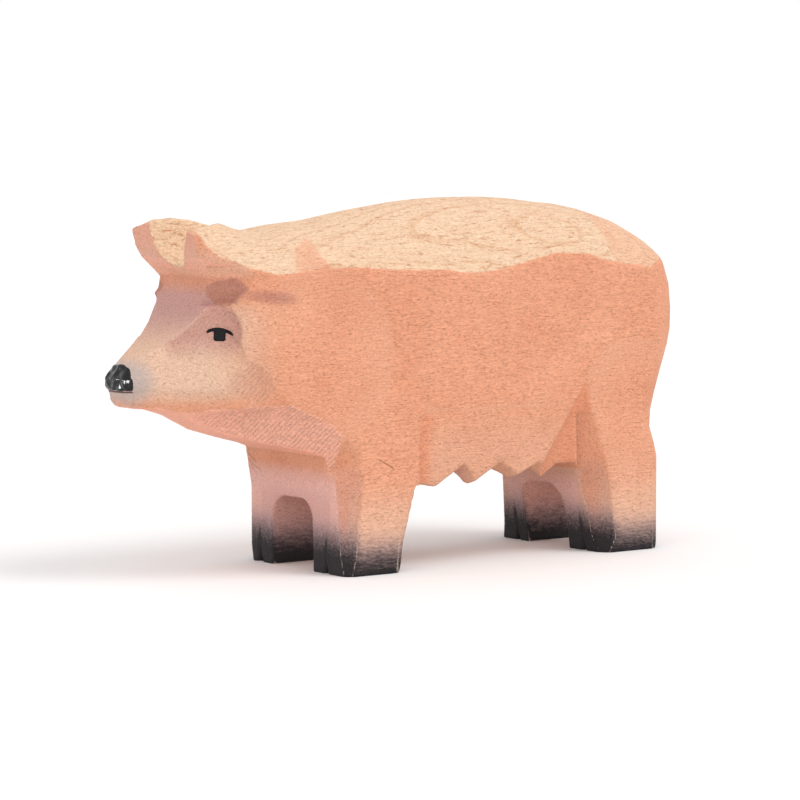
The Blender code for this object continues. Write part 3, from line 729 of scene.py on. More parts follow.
    def single_cuts(self) -> dict:
        """Gather the cuts that differ between the two sides, and those across the middle.

        Returns:
            Each cut by its name.
        """
        ear = Flats((self.ear_flat,) + between(Axis.X, None, self.ear_rear)
                    + between(Axis.Y, None, self.ear_inner))
        start_x, start_y, start_z = self.corner_start
        corner = Flats(between(Axis.X, start_x, None) + between(Axis.Z, start_z, None)
                       + between(Axis.Y, None, start_y) + (self.chest_flat, self.corner_flat))
        made = {"ear_chip": ear, "brow": self.brow(Side.NEAR, self.brow_inner),
                "brow_far": self.brow(Side.FAR, self.far_brow_inner),
                "fore_arch": self.fore_arch, "hind_arch": self.hind_arch,
                "chest_corner": corner, "fore_near": self.fore_near,
                "hind_near": self.hind_near, "fore_far": self.fore_far,
                "hind_far": self.hind_far}
        for i, toe in enumerate(self.toes):
            made["toe_%d" % i] = self.toe_notch(*toe)
        return made

    def udder_channel(self, x: Array, y: Array, z: Array) -> Array:
        """The flat-topped channel between the two rows of teats."""
        start, end = self.channel_run
        return np.maximum(self.channel.distance(y, z), np.maximum(start - x, x - end))

    def tail(self, x: Array, y: Array, z: Array) -> Array:
        """A low relief on the rump: half an ellipse wide about a line that sways.

        Args:
            x, y, z: Places in mm.

        Returns:
            Signed distances in mm.
        """
        share = np.clip((self.tail_top - z) / self.tail_length, 0.0, 1.0)
        middle = self.tail_swing * np.sin(self.tail_turns * math.pi * share)
        half = self.tail_half - self.tail_taper * share
        side = np.abs(y - middle) / half
        out = self.tail_out - self.tail_crown * side ** 2 - x
        ends = np.maximum(z - self.tail_top, self.tail_top - self.tail_length - z)
        return np.maximum(np.maximum((side - 1.0) * half, -out),
                          np.maximum(ends, self.tail_root - x))

    def layers(self, x: Array, y: Array, z: Array) -> Iterator[tuple[str, Array]]:
        """Go through each sawn, pared or cut surface in the order of the work.

        Args:
            x, y, z: Places in mm.

        Yields:
            The surface's name, and its signed distances in mm, positive in the waste.
        """
        block, near = self.block, -np.abs(y)
        for way in (block.sawn, block.head, block.rump, block.back, block.ears):
            yield way.__name__, way(x, y, z)
        for name, cut in self.twin_cuts().items():
            yield name, -cut.distance(x, near, z)
        for name, cut in self.single_cuts().items():
            yield name, -cut.distance(x, y, z)
        yield "udder_channel", -self.udder_channel(x, y, z)

    def wood(self, x: Array, y: Array, z: Array) -> Array:
        """The carved surface, pared a little where the nose's paint lies over it.

        Args:
            x, y, z: Places in mm.

        Returns:
            Signed distances in mm.
        """
        back, low, high = self.nose_seat
        seat = ease(back - x, *self.seat_rim) * ease(z - low, *self.seat_foot)
        return self.carved(x, y, z) + self.seat_depth * seat * ease(high - z, *self.seat_rim)

    def carved(self, x: Array, y: Array, z: Array) -> Array:
        """Signed distance to the carved surface in mm, negative in the wood.

        Args:
            x, y, z: Places in mm.

        Returns:
            Signed distances in mm.
        """
        solid = None
        for _, layer in self.layers(x, y, z):
            solid = layer if solid is None else worn_max(solid, layer, self.wear)
        return -worn_max(-solid, -self.tail(x, y, z), self.tail_wear)


def shows(layers: dict[str, Array], own: Iterable[str]) -> Array:
    """Find where some of the surfaces show, from how far they stand clear of the others.

    Args:
        layers: The distance to each surface under its name.
        own: Names of the surfaces that are looked for.

    Returns:
        How far inside those surfaces each point is, in mm.
    """
    found = np.max([layer for name, layer in layers.items() if name in own], axis=0)
    others = np.max([layer for name, layer in layers.items() if name not in own], axis=0)
    return found - others


@dataclass(frozen=True)
class Marks:
    """Where the wood is bare, shaded or sooted, as numbers kept on the skin's points.

    Each zone lists the measures that bound it, with where it comes in and where it goes
    out. Each tint is a sum of zones, with a share for each: some are shades of the stain,
    some are painted shade or painted light.
    """

    carving: Carving
    pared: tuple[str, ...] = ("back", "ears", "ear_chip")
    brow: tuple[Spot, ...] = ((7.4, 56.0), (9.0, 52.6), (13.7, 52.8), (15.3, 55.7), (12.9, 57.8),
                              (9.6, 57.0))
    neck: tuple[Spot, ...] = ((-32.9, 63.0), (-28.3, 65.0), (-28.4, 61.6), (-26.8, 59.0),
                              (-35.6, 58.6))
    neck_up: float = 0.2
    ear_top: tuple[Spot, ...] = ((-56.0, 67.7), (-52.6, 67.5), (-52.2, 64.6), (-54.0, 63.0))
    rump_clean: float = -0.1
    rump_stain: float = 0.26
    rump_line: Span = (41.5, 43.0)
    eye_tail: float = 1.6
    eye_tail_run: Span = (2.0, 6.0)
    temple: tuple[float, float, float, float] = (-40.5, 54.0, 6.2, 1.5)
    temple_slope: float = 0.12
    collar: float = 20.6
    nose: Point = (-64.0, 3.0, 38.4)
    nose_width: float = 0.6
    mouth_back: float = -62.9
    mouth_line: float = 36.45
    nick: Spot = (-16.9, 22.4)
    nick_way: Spot = (0.887, 0.461)
    nick_middle: float = 2.1
    nick_half: float = 2.4
    nick_side: float = -17.0
    rasp_way: Point = (0.72, -0.28, -0.64)
    rasp_jowl: float = 0.4
    soot_line: float = 3.4
    soot_hind: float = 0.3
    soot_ahead: float = 3.0
    soot_inside: float = 1.2
    hind_run: Span = (0.0, 20.0)
    inside_half: float = 12.0
    toe_soot: float = 2.5
    soot_span: Span = (-16.0, 7.0)
    clear: float = 3.0
    zones: dict[str, dict[str, Fade]] = field(default_factory=lambda: {
        "face": {"face": ((-0.15, 0.3), None), "z": ((44.0, 51.5), (54.0, 57.0)),
                 "x": (None, (-44.0, -44.0))},
        "brow": {"brow": (None, (-0.25, 0.1)), "x": (None, (-42.0, -42.0))},
        "under": {"z": ((55.0, 56.5), (57.6, 60.2)), "x": (None, (-47.5, -46.5))},
        "rim": {"z": ((57.4, 58.4), (60.0, 66.0)), "x": (None, (-46.0, -43.0))},
        "eye": {"eye": (None, (-0.25, 0.1)), "face": (None, (-0.3, 0.15)),
                "z": ((41.5, 47.5), None), "x": (None, (-40.0, -40.0))},
        "jaw": {"x": (None, (-52.0, -37.0)), "z": ((33.0, 37.0), (50.0, 55.0))},
        "jowl": {"jowl": ((-0.05, 0.25), None)},
        "temple": {"temple": (None, (0.4, 1.15)), "side": ((12.0, 12.0), None)},
        "ear_front": {"z": ((59.0, 61.0), None), "ahead": ((0.5, 0.8), None)},
        "throat": {"throat": ((-0.1, 0.3), None), "y": (None, (6.0, 12.0))},
        "rasp": {"throat": ((-0.1, 0.4), None), "x": ((-58.0, -44.0), None)},
        "chin": {"below": ((0.5, 0.8), None), "x": (None, (-27.0, -27.0))},
        "chest": {"ahead": ((0.35, 0.8), None), "collar": (None, (0.6, 2.2)),
                  "x": (None, (-20.0, -20.0)), "y": ((-8.0, 8.0), None)},
        "legs": {"ahead": ((0.6, 0.95), None), "z": (None, (17.0, 21.5)),
                 "side": (None, (17.2, 17.2))},
        "hocks": {"x": ((0.0, 0.0), None)},
        "hind": {"x": ((0.0, 20.0), None)},
        "fore": {"x": (None, (0.0, 0.0))},
        "feet": {"side": ((14.5, 16.5), None), "z": (None, (8.0, 20.0))},
        "chamfer": {"ahead": ((0.3, 0.6), (0.8, 0.92)), "z": (None, (16.0, 21.0)),
                    "near": ((0.3, 0.5), None)},
        "inner": {"z": (None, (13.0, 17.0)), "side": (None, (12.0, 12.0))},
        "arch": {"arch": ((-1.2, 0.0), None), "z": ((10.0, 13.0), None)},
        "flank": {"z": (None, (20.0, 34.0)), "x": ((-8.0, -2.0), (28.0, 36.0))},
        "stop": {"belly": ((-0.1, 0.3), None), "x": (None, (-5.6, -1.5))},
        "groin": {"groin": ((-0.1, 0.3), None)},
        "toes": {"toes": ((-0.9, -0.3), None)},
        "spray": {"nose": (None, (2.2, 6.4))}})
    shades: dict[str, dict[str, float]] = field(default_factory=lambda: {
        # pale: the paler stain of the jaw and cheeks, and painted light on the brow's rim and the
        # fronts of the hind legs; also paler on the feet's outer sides and low on the flank
        "pale": {"jaw": 1.0, "feet": 0.6, "rim": 0.4, "hocks": 0.6, "flank": 0.28},
        # rose: a pale mauve-pink on the fronts and inner faces of the legs and on the ears' fronts,
        # partly the toy's tint and partly painted light that lifts the leg fronts and the inner
        # faces
        "rose": {"legs": 0.95, "hind": -0.76, "inner": 0.75, "ear_front": 0.3},
        # blush: painted light, a lighter pink on the throat's flat and on the faces that look down
        # under the chin
        "blush": {"throat": 1.0, "chin": 0.8},
        "mauve": {"face": 1.0, "eye": 0.8, "fore": 0.4},
        # brown: the toy's brown airbrush about the eyes, and painted shade on the dark flat under
        # the brow, under the brow's rim and at the temple; also darker at the jowls and the legs'
        # chamfers
        "brown": {"brow": 1.0, "under": 0.25, "jowl": 0.19, "temple": 0.85, "eye": 0.4,
                  "chamfer": 0.35},
        # hollow: painted shade, an orange darkening in the groin, the tops of the leg arches, the
        # belly's stop cut, the chest's crease and the temple
        "hollow": {"temple": 0.6, "stop": 0.8, "groin": 0.7, "chest": 0.45, "arch": 0.8},
        "spray": {"spray": 1.0}})

    def measures(self, points: Array, ways: Array, layers: dict[str, Array]) -> dict[str, Array]:
        """Measure what bounds the zones at each point of the skin.

        Args:
            points: Rows of x, y and z in mm.
            ways: The surface's direction at each.
            layers: The distance to each carved surface under its name.

        Returns:
            One number a point under each measure's name.
        """
        x, y, z = points.T
        side = np.abs(y)
        made = {"x": x, "y": y, "z": z, "side": side, "ahead": -ways[:, 0],
                "near": -ways[:, 1], "below": -ways[:, 2]}
        made["face"] = self.carving.block.head_corner(z, 2)[1] - side
        made["brow"] = Outline(self.brow).distance(side, z)
        made["eye"] = self.past_eye(points)
        temple_x, temple_z, length, height = self.temple
        rise = z - temple_z + self.temple_slope * (x - temple_x)
        made["temple"] = np.hypot((x - temple_x) / length, rise / height)
        made["collar"] = np.abs(z - self.collar)
        made["arch"] = np.maximum(layers["fore_arch"], layers["hind_arch"])
        nose_x, nose_side, nose_z = self.nose
        made["nose"] = np.sqrt((x - nose_x) ** 2 + (side - nose_side) ** 2 * self.nose_width
                               + (z - nose_z) ** 2)
        toes = [layer for name, layer in layers.items() if name.startswith("toe")]
        made["toes"] = np.max(toes, axis=0) - np.max(list(layers.values()), axis=0)
        for name in ("jowl", "throat", "belly", "groin"):
            made[name] = shows(layers, (name,))
        return made

    def past_eye(self, points: Array) -> Array:
        """Measure how far a point is outside the shade about an eye, longer to the rear.

        Args:
            points: Rows of x, y and z in mm.

        Returns:
            Distances in mm, negative in the shade.
        """
        centre, lid, _, up = self.carving.eye_axes()
        offset = points * (1.0, 0.0, 1.0) - np.outer(np.abs(points[:, 1]), (0.0, 1.0, 0.0)) - centre
        reach = np.hypot(offset @ lid + self.carving.eye_ahead,
                         offset @ up + self.carving.eye_drop)
        tail = self.eye_tail * ease(-(offset @ lid), *self.eye_tail_run)
        return reach - (self.carving.eye_disc + tail)

    def shaded(self, measures: dict[str, Array]) -> dict[str, Array]:
        """Work out how strong each zone is.

        Args:
            measures: One number a point under each measure's name.

        Returns:
            Strengths from 0 to 1 under each zone's name.
        """
        made = {name: np.prod([fade(measures[key], *span) for key, span in spans.items()], axis=0)
                for name, spans in self.zones.items()}
        made["under"] = made["under"] * (1 - made["rim"])
        made["hocks"] = made["hocks"] * made["legs"]
        made["hind"] = made["hind"] * made["legs"]
        made["fore"] = made["fore"] * made["inner"]
        return made

    def soot(self, x: Array, y: Array, z: Array, ways: Array) -> Array:
        """Measure how far below the sprayed line a point is: higher ahead, lower behind.

        Args:
            x, y, z: Places in mm.
            ways: The surface's direction at each.

        Returns:
            Depths in mm.
        """
        hind = ease(x, *self.hind_run)
        ahead = np.clip(-ways[:, 0], 0.0, 1.0)
        inside = np.clip(np.abs(ways[:, 1]), 0.0, 1.0) * (np.abs(y) < self.inside_half)
        line = self.soot_line - self.soot_hind * hind * (1 - ahead) + self.soot_ahead * ahead
        return line + self.soot_inside * inside - z

    def patches(self, x: Array, y: Array, z: Array, ways: Array) -> Array:
        """Find the few places where stain has run over the bare back.

        Args:
            x, y, z: Places in mm.
            ways: The surface's direction at each.

        Returns:
            Depths inside the nearest patch in mm.
        """
        neck = -Outline(self.neck).distance(x, z)
        neck = np.where((y < 0) & (ways[:, 2] > self.neck_up), neck, -self.clear)
        ear_top = np.where(y < 0, -Outline(self.ear_top).distance(x, z), -self.clear)
        rump_top = self.rump_clean + self.rump_stain * ease(x, *self.rump_line)
        return np.maximum(np.maximum(neck, ear_top), rump_top)

    def scored(self, x: Array, y: Array, z: Array) -> Array:
        """Measure the height over the one cut that crosses the near shoulder.

        Args:
            x, y, z: Places in mm.

        Returns:
            Distances from the cut's line in mm, and a clear one past its ends.
        """
        (start_x, start_z), (way_x, way_z) = self.nick, self.nick_way
        along = (x - start_x) * way_x - (z - start_z) * way_z
        across = (x - start_x) * way_z + (z - start_z) * way_x
        here = (y < self.nick_side) & (np.abs(along - self.nick_middle) < self.nick_half)
        return np.where(here, across, self.clear)

    def on(self, points: Array, ways: Array) -> dict[str, Array]:
        """Work out each mark at the skin's points.

        Args:
            points: Rows of x, y and z in mm.
            ways: The surface's direction at each.

        Returns:
            One number a point under each mark's name.
        """
        x, y, z = points.T
        clear = self.clear
        layers = dict(self.carving.layers(x, y, z))
        second, first = np.sort(list(layers.values()), axis=0)[-2:]
        zone = self.shaded(self.measures(points, ways, layers))
        made = {name: np.clip(sum(share * zone[part] for part, share in parts.items()), 0.0, 1.0)
                for name, parts in self.shades.items()}
        made["bare"] = np.clip(shows(layers, self.pared), -clear, clear)
        made["edge"] = np.clip(first - second + clear * zone["toes"], 0.0, clear)
        made["patch"] = np.clip(self.patches(x, y, z, ways), -clear, clear)
        made["soot"] = np.clip(self.soot(x, y, z, ways) + self.toe_soot * zone["toes"],
                               *self.soot_span)
        made["mouth"] = np.where(x < self.mouth_back, z - self.mouth_line, clear)
        made["nick"] = np.clip(self.scored(x, y, z), -clear, clear)
        made["rasp"] = np.clip(zone["rasp"] + self.rasp_jowl * zone["jowl"], 0.0, 1.0)
        made["stroke"] = np.stack((x, -np.abs(y), z), axis=1) @ np.array(self.rasp_way)
        return made


def slopes(solid: Solid, points: Array, step: float = 0.02) -> Array:
    """Direction in which a solid's distance rises, from differences over a small step.

    Args:
        solid: The distance function.
        points: Rows of x, y and z in mm.
        step: Half the stretch of each difference in mm.

    Returns:
        Rows of unit vectors.
    """
    least = 1e-9
    rise = np.empty_like(points)
    for axis in Axis:
        push = np.zeros(len(Axis))
        push[axis.value] = step
        rise[:, axis.value] = solid(*(points + push).T) - solid(*(points - push).T)
    return rise / np.maximum(np.linalg.norm(rise, axis=1, keepdims=True), least)


def lattice_crossings(value: Array, lines: list[Array], pitch: float) -> tuple[Array, Array]:
    """Find where the edges of a lattice pass through the surface.

    Args:
        value: The signed distance at each corner of the lattice.
        lines: The lattice's places along each axis in mm.
        pitch: Side of a cube in mm.

    Returns:
        The crossings in mm, and the four cubes round each in order seen from outside.
    """
    cells = tuple(len(line) - 1 for line in lines)
    quads, crossings = [], []
    for axis in range(len(Axis)):
        count = value.shape[axis]
        a = np.take(value, range(count - 1), axis)
        b = np.take(value, range(1, count), axis)
        hit = np.nonzero((a < 0) != (b < 0))
        start = np.stack([lines[k][hit[k]] for k in range(len(Axis))], axis=1)
        start[:, axis] += a[hit] / (a[hit] - b[hit]) * pitch
        u, v = (axis + 1) % len(Axis), (axis + 2) % len(Axis)
        around = []
        for du, dv in ((1, 1), (0, 1), (0, 0), (1, 0)):
            cell = [hit[k].copy() for k in range(len(Axis))]
            cell[u] -= du
            cell[v] -= dv
            around.append(np.ravel_multi_index(cell, cells, mode="clip"))
        around = np.stack(around, axis=1)
        inward = b[hit] < 0
        around[inward] = around[inward][:, ::-1]
        quads.append(around)
        crossings.append(start)
    return np.concatenate(crossings), np.concatenate(quads)


def skin_over(solid: Solid, low: Point, high: Point, pitch: float) -> tuple[Array, Array]:
    """Lay a skin of four-sided faces on the zero level of a solid.

    Formula: space is divided into cubes. Wherever an edge of the lattice passes through
    the surface, the four cubes round it give one face. Each cube's corner of the skin is
    the point nearest to the tangent planes at its crossings, by least squares, with a
    slight pull to their middle.

    Args:
        solid: The distance function, in mm.
        low: Lowest corner of the lattice in mm.
        high: Highest corner of the lattice in mm.
        pitch: Side of a cube in mm.

    Returns:
        Points in mm, and rows of four point numbers, in order seen from outside.
    """
    pull_in, stray = 0.12, 0.7 * pitch
    lines = [np.arange(a, b + pitch, pitch) for a, b in zip(low, high)]
    value = np.broadcast_to(
        solid(lines[0][:, None, None], lines[1][None, :, None], lines[2][None, None, :]),
        [len(line) for line in lines])
    crossings, quads = lattice_crossings(value, lines, pitch)
    ways = slopes(solid, crossings)
    numbers, owner = np.unique(quads, return_inverse=True)
    owner = owner.reshape(quads.shape)
    total, spread = len(numbers), owner.ravel()
    point = np.repeat(crossings, quads.shape[1], axis=0)
    way = np.repeat(ways, quads.shape[1], axis=0)
    share = np.bincount(spread, minlength=total)
    middle = np.stack([np.bincount(spread, point[:, k], total) for k in range(len(Axis))], 1)
    middle /= share[:, None]
    offset = np.sum(way * (point - middle[spread]), axis=1)
    system = np.empty((total, len(Axis), len(Axis)))
    pull = np.empty((total, len(Axis)))
    for r in range(len(Axis)):
        pull[:, r] = np.bincount(spread, way[:, r] * offset, total)
        for c in range(len(Axis)):
            system[:, r, c] = np.bincount(spread, way[:, r] * way[:, c], total)
    system += np.eye(len(Axis)) * pull_in
    moved = np.linalg.solve(system, pull[:, :, None])[:, :, 0]
    return middle + np.clip(moved, -stray, stray), owner


def mesh_from(name: str, points: Array, faces: Array) -> bpy.types.Object:
    """Make an object from points in mm and faces, shaded smooth.

    Args:
        name: The piece's name.
        points: Rows of x, y and z in mm.
        faces: Rows of point numbers.

    Returns:
        The linked object at the origin.
    """
    mesh = bpy.data.meshes.new(name)
    mesh.from_pydata((points * MM).tolist(), [], faces.tolist())
    mesh.validate()
    mesh.shade_smooth()
    made = bpy.data.objects.new(name, mesh)
    bpy.context.scene.collection.objects.link(made)
    return made


def give(piece: bpy.types.Object, name: str, values: Array) -> None:
    """Keep one number for each point of a piece under a name, for its material.

    Args:
        piece: The piece.
        name: The mark's name.
        values: One number a point.
    """
    layer = piece.data.attributes.new(name, "FLOAT", "POINT")
    layer.data.foreach_set("value", np.asarray(values, np.float32))


def colour(code: str) -> tuple[float, float, float, float]:
    """Turn an sRGB hex value into the linear colour that a shader takes.

    Args:
        code: Six hex digits.

    Returns:
        Red, green, blue and an alpha of one.
    """
    parts = [int(code[i:i + 2], 16) / 255 for i in (0, 2, 4)]
    linear = [c / 12.92 if c <= 0.04045 else ((c + 0.055) / 1.055) ** 2.4 for c in parts]
    return (*linear, 1.0)


class Finish:
    """A material that is built up node by node."""

    def __init__(self, name: str) -> None:
        """Start an empty material with a Principled shader.

        Args:
            name: The material's name.
        """
        self.stuff = bpy.data.materials.new(name)
        self.stuff.use_nodes = True
        self.tree = self.stuff.node_tree
        self.shader = self.tree.nodes["Principled BSDF"]

    def add(self, kind: str, **given: object) -> bpy.types.Node:
        """Add a node, with its settings, and values or sockets for its inputs.

        Args:
            kind: The node's type, without the words that all of them start with.
            **given: Settings, whose names are in small letters, with a value or a named
                option. Inputs, by a name with a capital or by in_ and a number, with a
                value, a node or a socket.

        Returns:
            The node.
        """
        node = self.tree.nodes.new("ShaderNode" + kind)
        for key, value in given.items():
            if key.islower() and not key.startswith("in_"):
                setattr(node, key, value.value if isinstance(value, Enum) else value)
                continue
            socket = node.inputs[int(key[3:]) if key.startswith("in_") else key.replace("_", " ")]
            if isinstance(value, bpy.types.Node):
                value = value.outputs[0]
            if isinstance(value, bpy.types.NodeSocket):
                self.tree.links.new(value, socket)
            else:
                socket.default_value = value
        return node

    def join(self, source: bpy.types.Node, slot: str) -> None:
        """Link a node's first output to the shader.

        Args:
            source: The node.
            slot: Name of the shader's input.
        """
        self.tree.links.new(source.outputs[0], self.shader.inputs[slot])

    def set(self, **values: float | tuple) -> None:
        """Set inputs of the shader to plain values.

        Args:
            **values: Each input's name, with a low line for each blank.
        """
        for key, value in values.items():
            self.shader.inputs[key.replace("_", " ")].default_value = value


@dataclass(frozen=True)
class Rise:
    """How a strength follows a value: two limits, the strengths there, and the way between."""

    start: float
    end: float
    low: float = 0.0
    high: float = 1.0
    shape: Ramp = Ramp.EASED

    def limits(self) -> dict:
        """The same as the settings and inputs of a node that maps a range."""
        return {"interpolation_type": self.shape, "From_Min": self.start,
                "From_Max": self.end, "To_Min": self.low, "To_Max": self.high}


@dataclass(frozen=True)
class Grain:
    """What the layers of the wood's look share: its fine patterns and the skin's marks."""

    mark: dict[str, bpy.types.NodeSocket]
    fibre: bpy.types.Node
    grit: bpy.types.Node
    cloud: bpy.types.Node
    ring: bpy.types.Node
    streak: bpy.types.Node
    pore: bpy.types.Node


@dataclass(frozen=True)
class StainedLimewood:
    """Limewood, knife-carved, wiped with thin stain and sprayed with soot-black at the feet.

    The wood is pale and almost without pattern: the eye gets short raised fibres along the
    body, faint growth lines on the pared back, and a matt wax that rubs off along edges.
    Each tint is a colour and how strongly it covers where the skin's mark is full. The
    orange of the hollows and part of the browns are painted shade; the light pink under the
    throat and chin and part of the rose and pale tints are painted light.
    """

    bare: str = "dab494"
    growth: str = "dfb48c"
    raised: str = "efd3b4"
    dash: str = "d0a27c"
    pores: str = "a8765c"
    stain: str = "d99474"
    stain_deep: str = "cf8866"
    stain_light: str = "e1a383"
    tints: dict[str, tuple[str, float]] = field(default_factory=lambda: {
        "pale": ("dbb79e", 0.9), "blush": ("fab49b", 0.9), "hollow": ("dc8c68", 0.75),
        "rose": ("e4b4aa", 0.9), "mauve": ("c0918a", 0.92), "brown": ("b47a68", 0.95)})
    marks: tuple[str, ...] = ("bare", "edge", "patch", "soot", "spray", "mouth", "nick", "rasp",
                              "stroke")
    veil: str = "837d88"
    black: str = "141419"
    grey: str = "b3a9a8"
    mouth: str = "52262a"
    cut: str = "935c42"
    rubbed: str = "dcc9bb"
    fresh: str = "f4c6ae"
    fibre: tuple[float, float, float] = (0.36, 1.8, 1.8)
    grit: tuple[float, float, float] = (1.45, 3.4, 3.4)
    cloud: float = 0.085
    ring_lean: Point = (0.012, -0.95, 1.0)
    ring_sway: float = 1.1
    ring_step: float = 1.55
    ring_rise: Rise = Rise(0.78, 0.97, 0.0, 1.7)
    streak_rise: Rise = Rise(0.36, 0.66, shape=Ramp.STRAIGHT)
    pore_rise: Rise = Rise(0.58, 0.68)
    dash_rise: Rise = Rise(0.42, 0.33, 0.0, 0.7)
    cloud_rise: Rise = Rise(0.3, 0.7, shape=Ramp.STRAIGHT)
    bare_raised: float = 0.45
    stain_even: float = 0.5
    stain_raised: float = 0.30
    border_ragged: float = 0.5
    border_rise: Rise = Rise(0.14, 0.42)
    patch_rise: Rise = Rise(-0.1, 0.35, 0.0, 0.62)
    pore_dark: float = 0.4
    grain_rise: Rise = Rise(0.32, 0.68, 1.31, 0.92, Ramp.STRAIGHT)
    speck_grit: float = 4.4
    speck_streak: float = -1.8
    speck_rise: Rise = Rise(-2.9, 4.4, 0.0, 0.97)
    veil_rise: Rise = Rise(-7.0, 1.0, 0.0, 0.66)
    spray_share: float = 0.7
    lip_rise: Rise = Rise(0.07, 0.26, 0.9, 0.0)
    cut_rise: Rise = Rise(0.04, 0.24, 0.7, 0.0)
    edge_grit: float = 0.16
    edge_rise: Rise = Rise(0.10, 0.22, 1.0, 0.0)
    edge_soot: Rise = Rise(-8.0, -1.0, 0.05, 0.44, Ramp.STRAIGHT)
    stroke_step: float = 0.78
    stroke_sway: float = 14.0
    stroke_break: Rise = Rise(0.38, 0.58, 0.25, 1.0, Ramp.STRAIGHT)
    stroke_bright: float = 0.20
    fresh_rise: Rise = Rise(0.0, 1.0, 0.0, 0.7, Ramp.STRAIGHT)
    stroke_relief: float = 0.52
    grit_relief: float = 0.75
    pore_relief: float = -0.12
    relief: float = 0.85
    relief_metres: float = 0.00065
    wax_rise: Rise = Rise(0.3, 0.7, 0.56, 0.70, Ramp.STRAIGHT)
    gloss: float = 0.2
    refraction: float = 1.47

    def grain(self, m: Finish) -> Grain:
        """Lay out the fine patterns. Growth lines are planes that lean to the near side.

        Args:
            m: The material.

        Returns:
            The patterns and the skin's marks.
        """
        mark = {name: m.add("Attribute", attribute_name=name).outputs["Fac"]
                for name in (*self.marks, *self.tints)}
        mm = m.add("VectorMath", operation=Sum.TIMES, in_0=m.add("TexCoord").outputs["Object"],
                   in_1=(1 / MM, 1 / MM, 1 / MM))
        along = m.add("VectorMath", operation=Sum.TIMES, in_0=mm, in_1=self.fibre)
        fibre = m.add("TexNoise", Vector=along, Scale=1.0, Detail=4.0, Roughness=0.62,
                      Distortion=0.6)
        close = m.add("VectorMath", operation=Sum.TIMES, in_0=mm, in_1=self.grit)
        grit = m.add("TexNoise", Vector=close, Scale=1.0, Detail=3.0, Roughness=0.7)
        cloud = m.add("TexNoise", Vector=mm, Scale=self.cloud, Detail=3.0, Roughness=0.55)
        lean = m.add("VectorMath", operation=Sum.DOT, in_0=mm, in_1=self.ring_lean)
        sway = m.add("Math", operation=Sum.TIMES_PLUS, in_0=cloud, in_1=self.ring_sway,
                     in_2=lean.outputs["Value"])
        turn = m.add("Math", operation=Sum.TIMES, in_0=sway, in_1=1.0 / self.ring_step)
        part = m.add("Math", operation=Sum.PART, in_0=turn)
        ring = m.add("MapRange", Value=part, **self.ring_rise.limits())
        for pattern in (fibre, cloud):
            ring = m.add("Math", operation=Sum.TIMES, in_0=ring, in_1=pattern)
        streak = m.add("MapRange", Value=fibre, **self.streak_rise.limits())
        pore = m.add("MapRange", Value=grit, **self.pore_rise.limits())
        return Grain(mark, fibre, grit, cloud, ring, streak, pore)

    def bare_wood(self, m: Finish, grain: Grain) -> bpy.types.Node:
        """Colour the bare wood: growth lines, pale raised fibres and dark dashes.

        Args:
            m: The material.
            grain: Its patterns and marks.

        Returns:
            The colour.
        """
        raised = m.add("Math", operation=Sum.TIMES, in_0=grain.streak, in_1=self.bare_raised)
        dash = m.add("MapRange", Value=grain.fibre, **self.dash_rise.limits())
        bare = m.add("MixRGB", blend_type=Blend.TINT, Color1=colour(self.bare),
                     Color2=colour(self.growth), Fac=grain.ring)
        bare = m.add("MixRGB", Color1=bare, Color2=colour(self.raised), Fac=raised)
        return m.add("MixRGB", blend_type=Blend.TINT, Color1=bare, Color2=colour(self.dash),
                     Fac=dash)

    def stained(self, m: Finish, grain: Grain) -> bpy.types.Node:
        """Colour the stained wood: thinner stain on raised fibres and over some clouds, then the
        tints, which include painted shade and painted light.

        Args:
            m: The material.
            grain: Its patterns and marks.

        Returns:
            The colour.
        """
        cloudy = m.add("MapRange", Value=grain.cloud, **self.cloud_rise.limits())
        raised = m.add("Math", operation=Sum.TIMES, in_0=grain.streak, in_1=self.stain_raised)
        stain = m.add("MixRGB", Color1=colour(self.stain_deep), Color2=colour(self.stain_light),
                      Fac=cloudy)
        for code, amount in ((self.stain, self.stain_even), (self.stain_light, raised)):
            stain = m.add("MixRGB", Color1=stain, Color2=colour(code), Fac=amount)
        # The tints include painted shade in hollows and under the brow, and painted light under the
        # throat and on the legs' fronts.
        for name, (code, share) in self.tints.items():
            amount = m.add("Math", operation=Sum.TIMES, in_0=grain.mark[name], in_1=share)
            stain = m.add("MixRGB", Color1=stain, Color2=colour(code), Fac=amount)
        return stain

    def wood(self, m: Finish, grain: Grain) -> bpy.types.Node:
        """Join bare and stained wood along a border brushed by hand, and darken the pores.

        Args:
            m: The material.
            grain: Its patterns and marks.

        Returns:
            The colour.
        """
        ragged = m.add("Math", operation=Sum.TIMES_PLUS, in_0=grain.fibre,
                       in_1=self.border_ragged, in_2=grain.mark["bare"])
        clean = m.add("MapRange", Value=ragged, **self.border_rise.limits())
        patch = m.add("MapRange", Value=grain.mark["patch"], **self.patch_rise.limits())
        clean = m.add("Math", operation=Sum.LESS, use_clamp=True, in_0=clean, in_1=patch)
        wood = m.add("MixRGB", Color1=self.stained(m, grain), Color2=self.bare_wood(m, grain),
                     Fac=clean)
        dark = m.add("Math", operation=Sum.TIMES, in_0=grain.pore, in_1=self.pore_dark)
        wood = m.add("MixRGB", blend_type=Blend.TINT, Color1=wood, Color2=colour(self.pores),
                     Fac=dark)
        light = m.add("MapRange", Value=grain.grit, **self.grain_rise.limits())
        return m.add("VectorMath", operation=Sum.TIMES, in_0=wood, in_1=light)

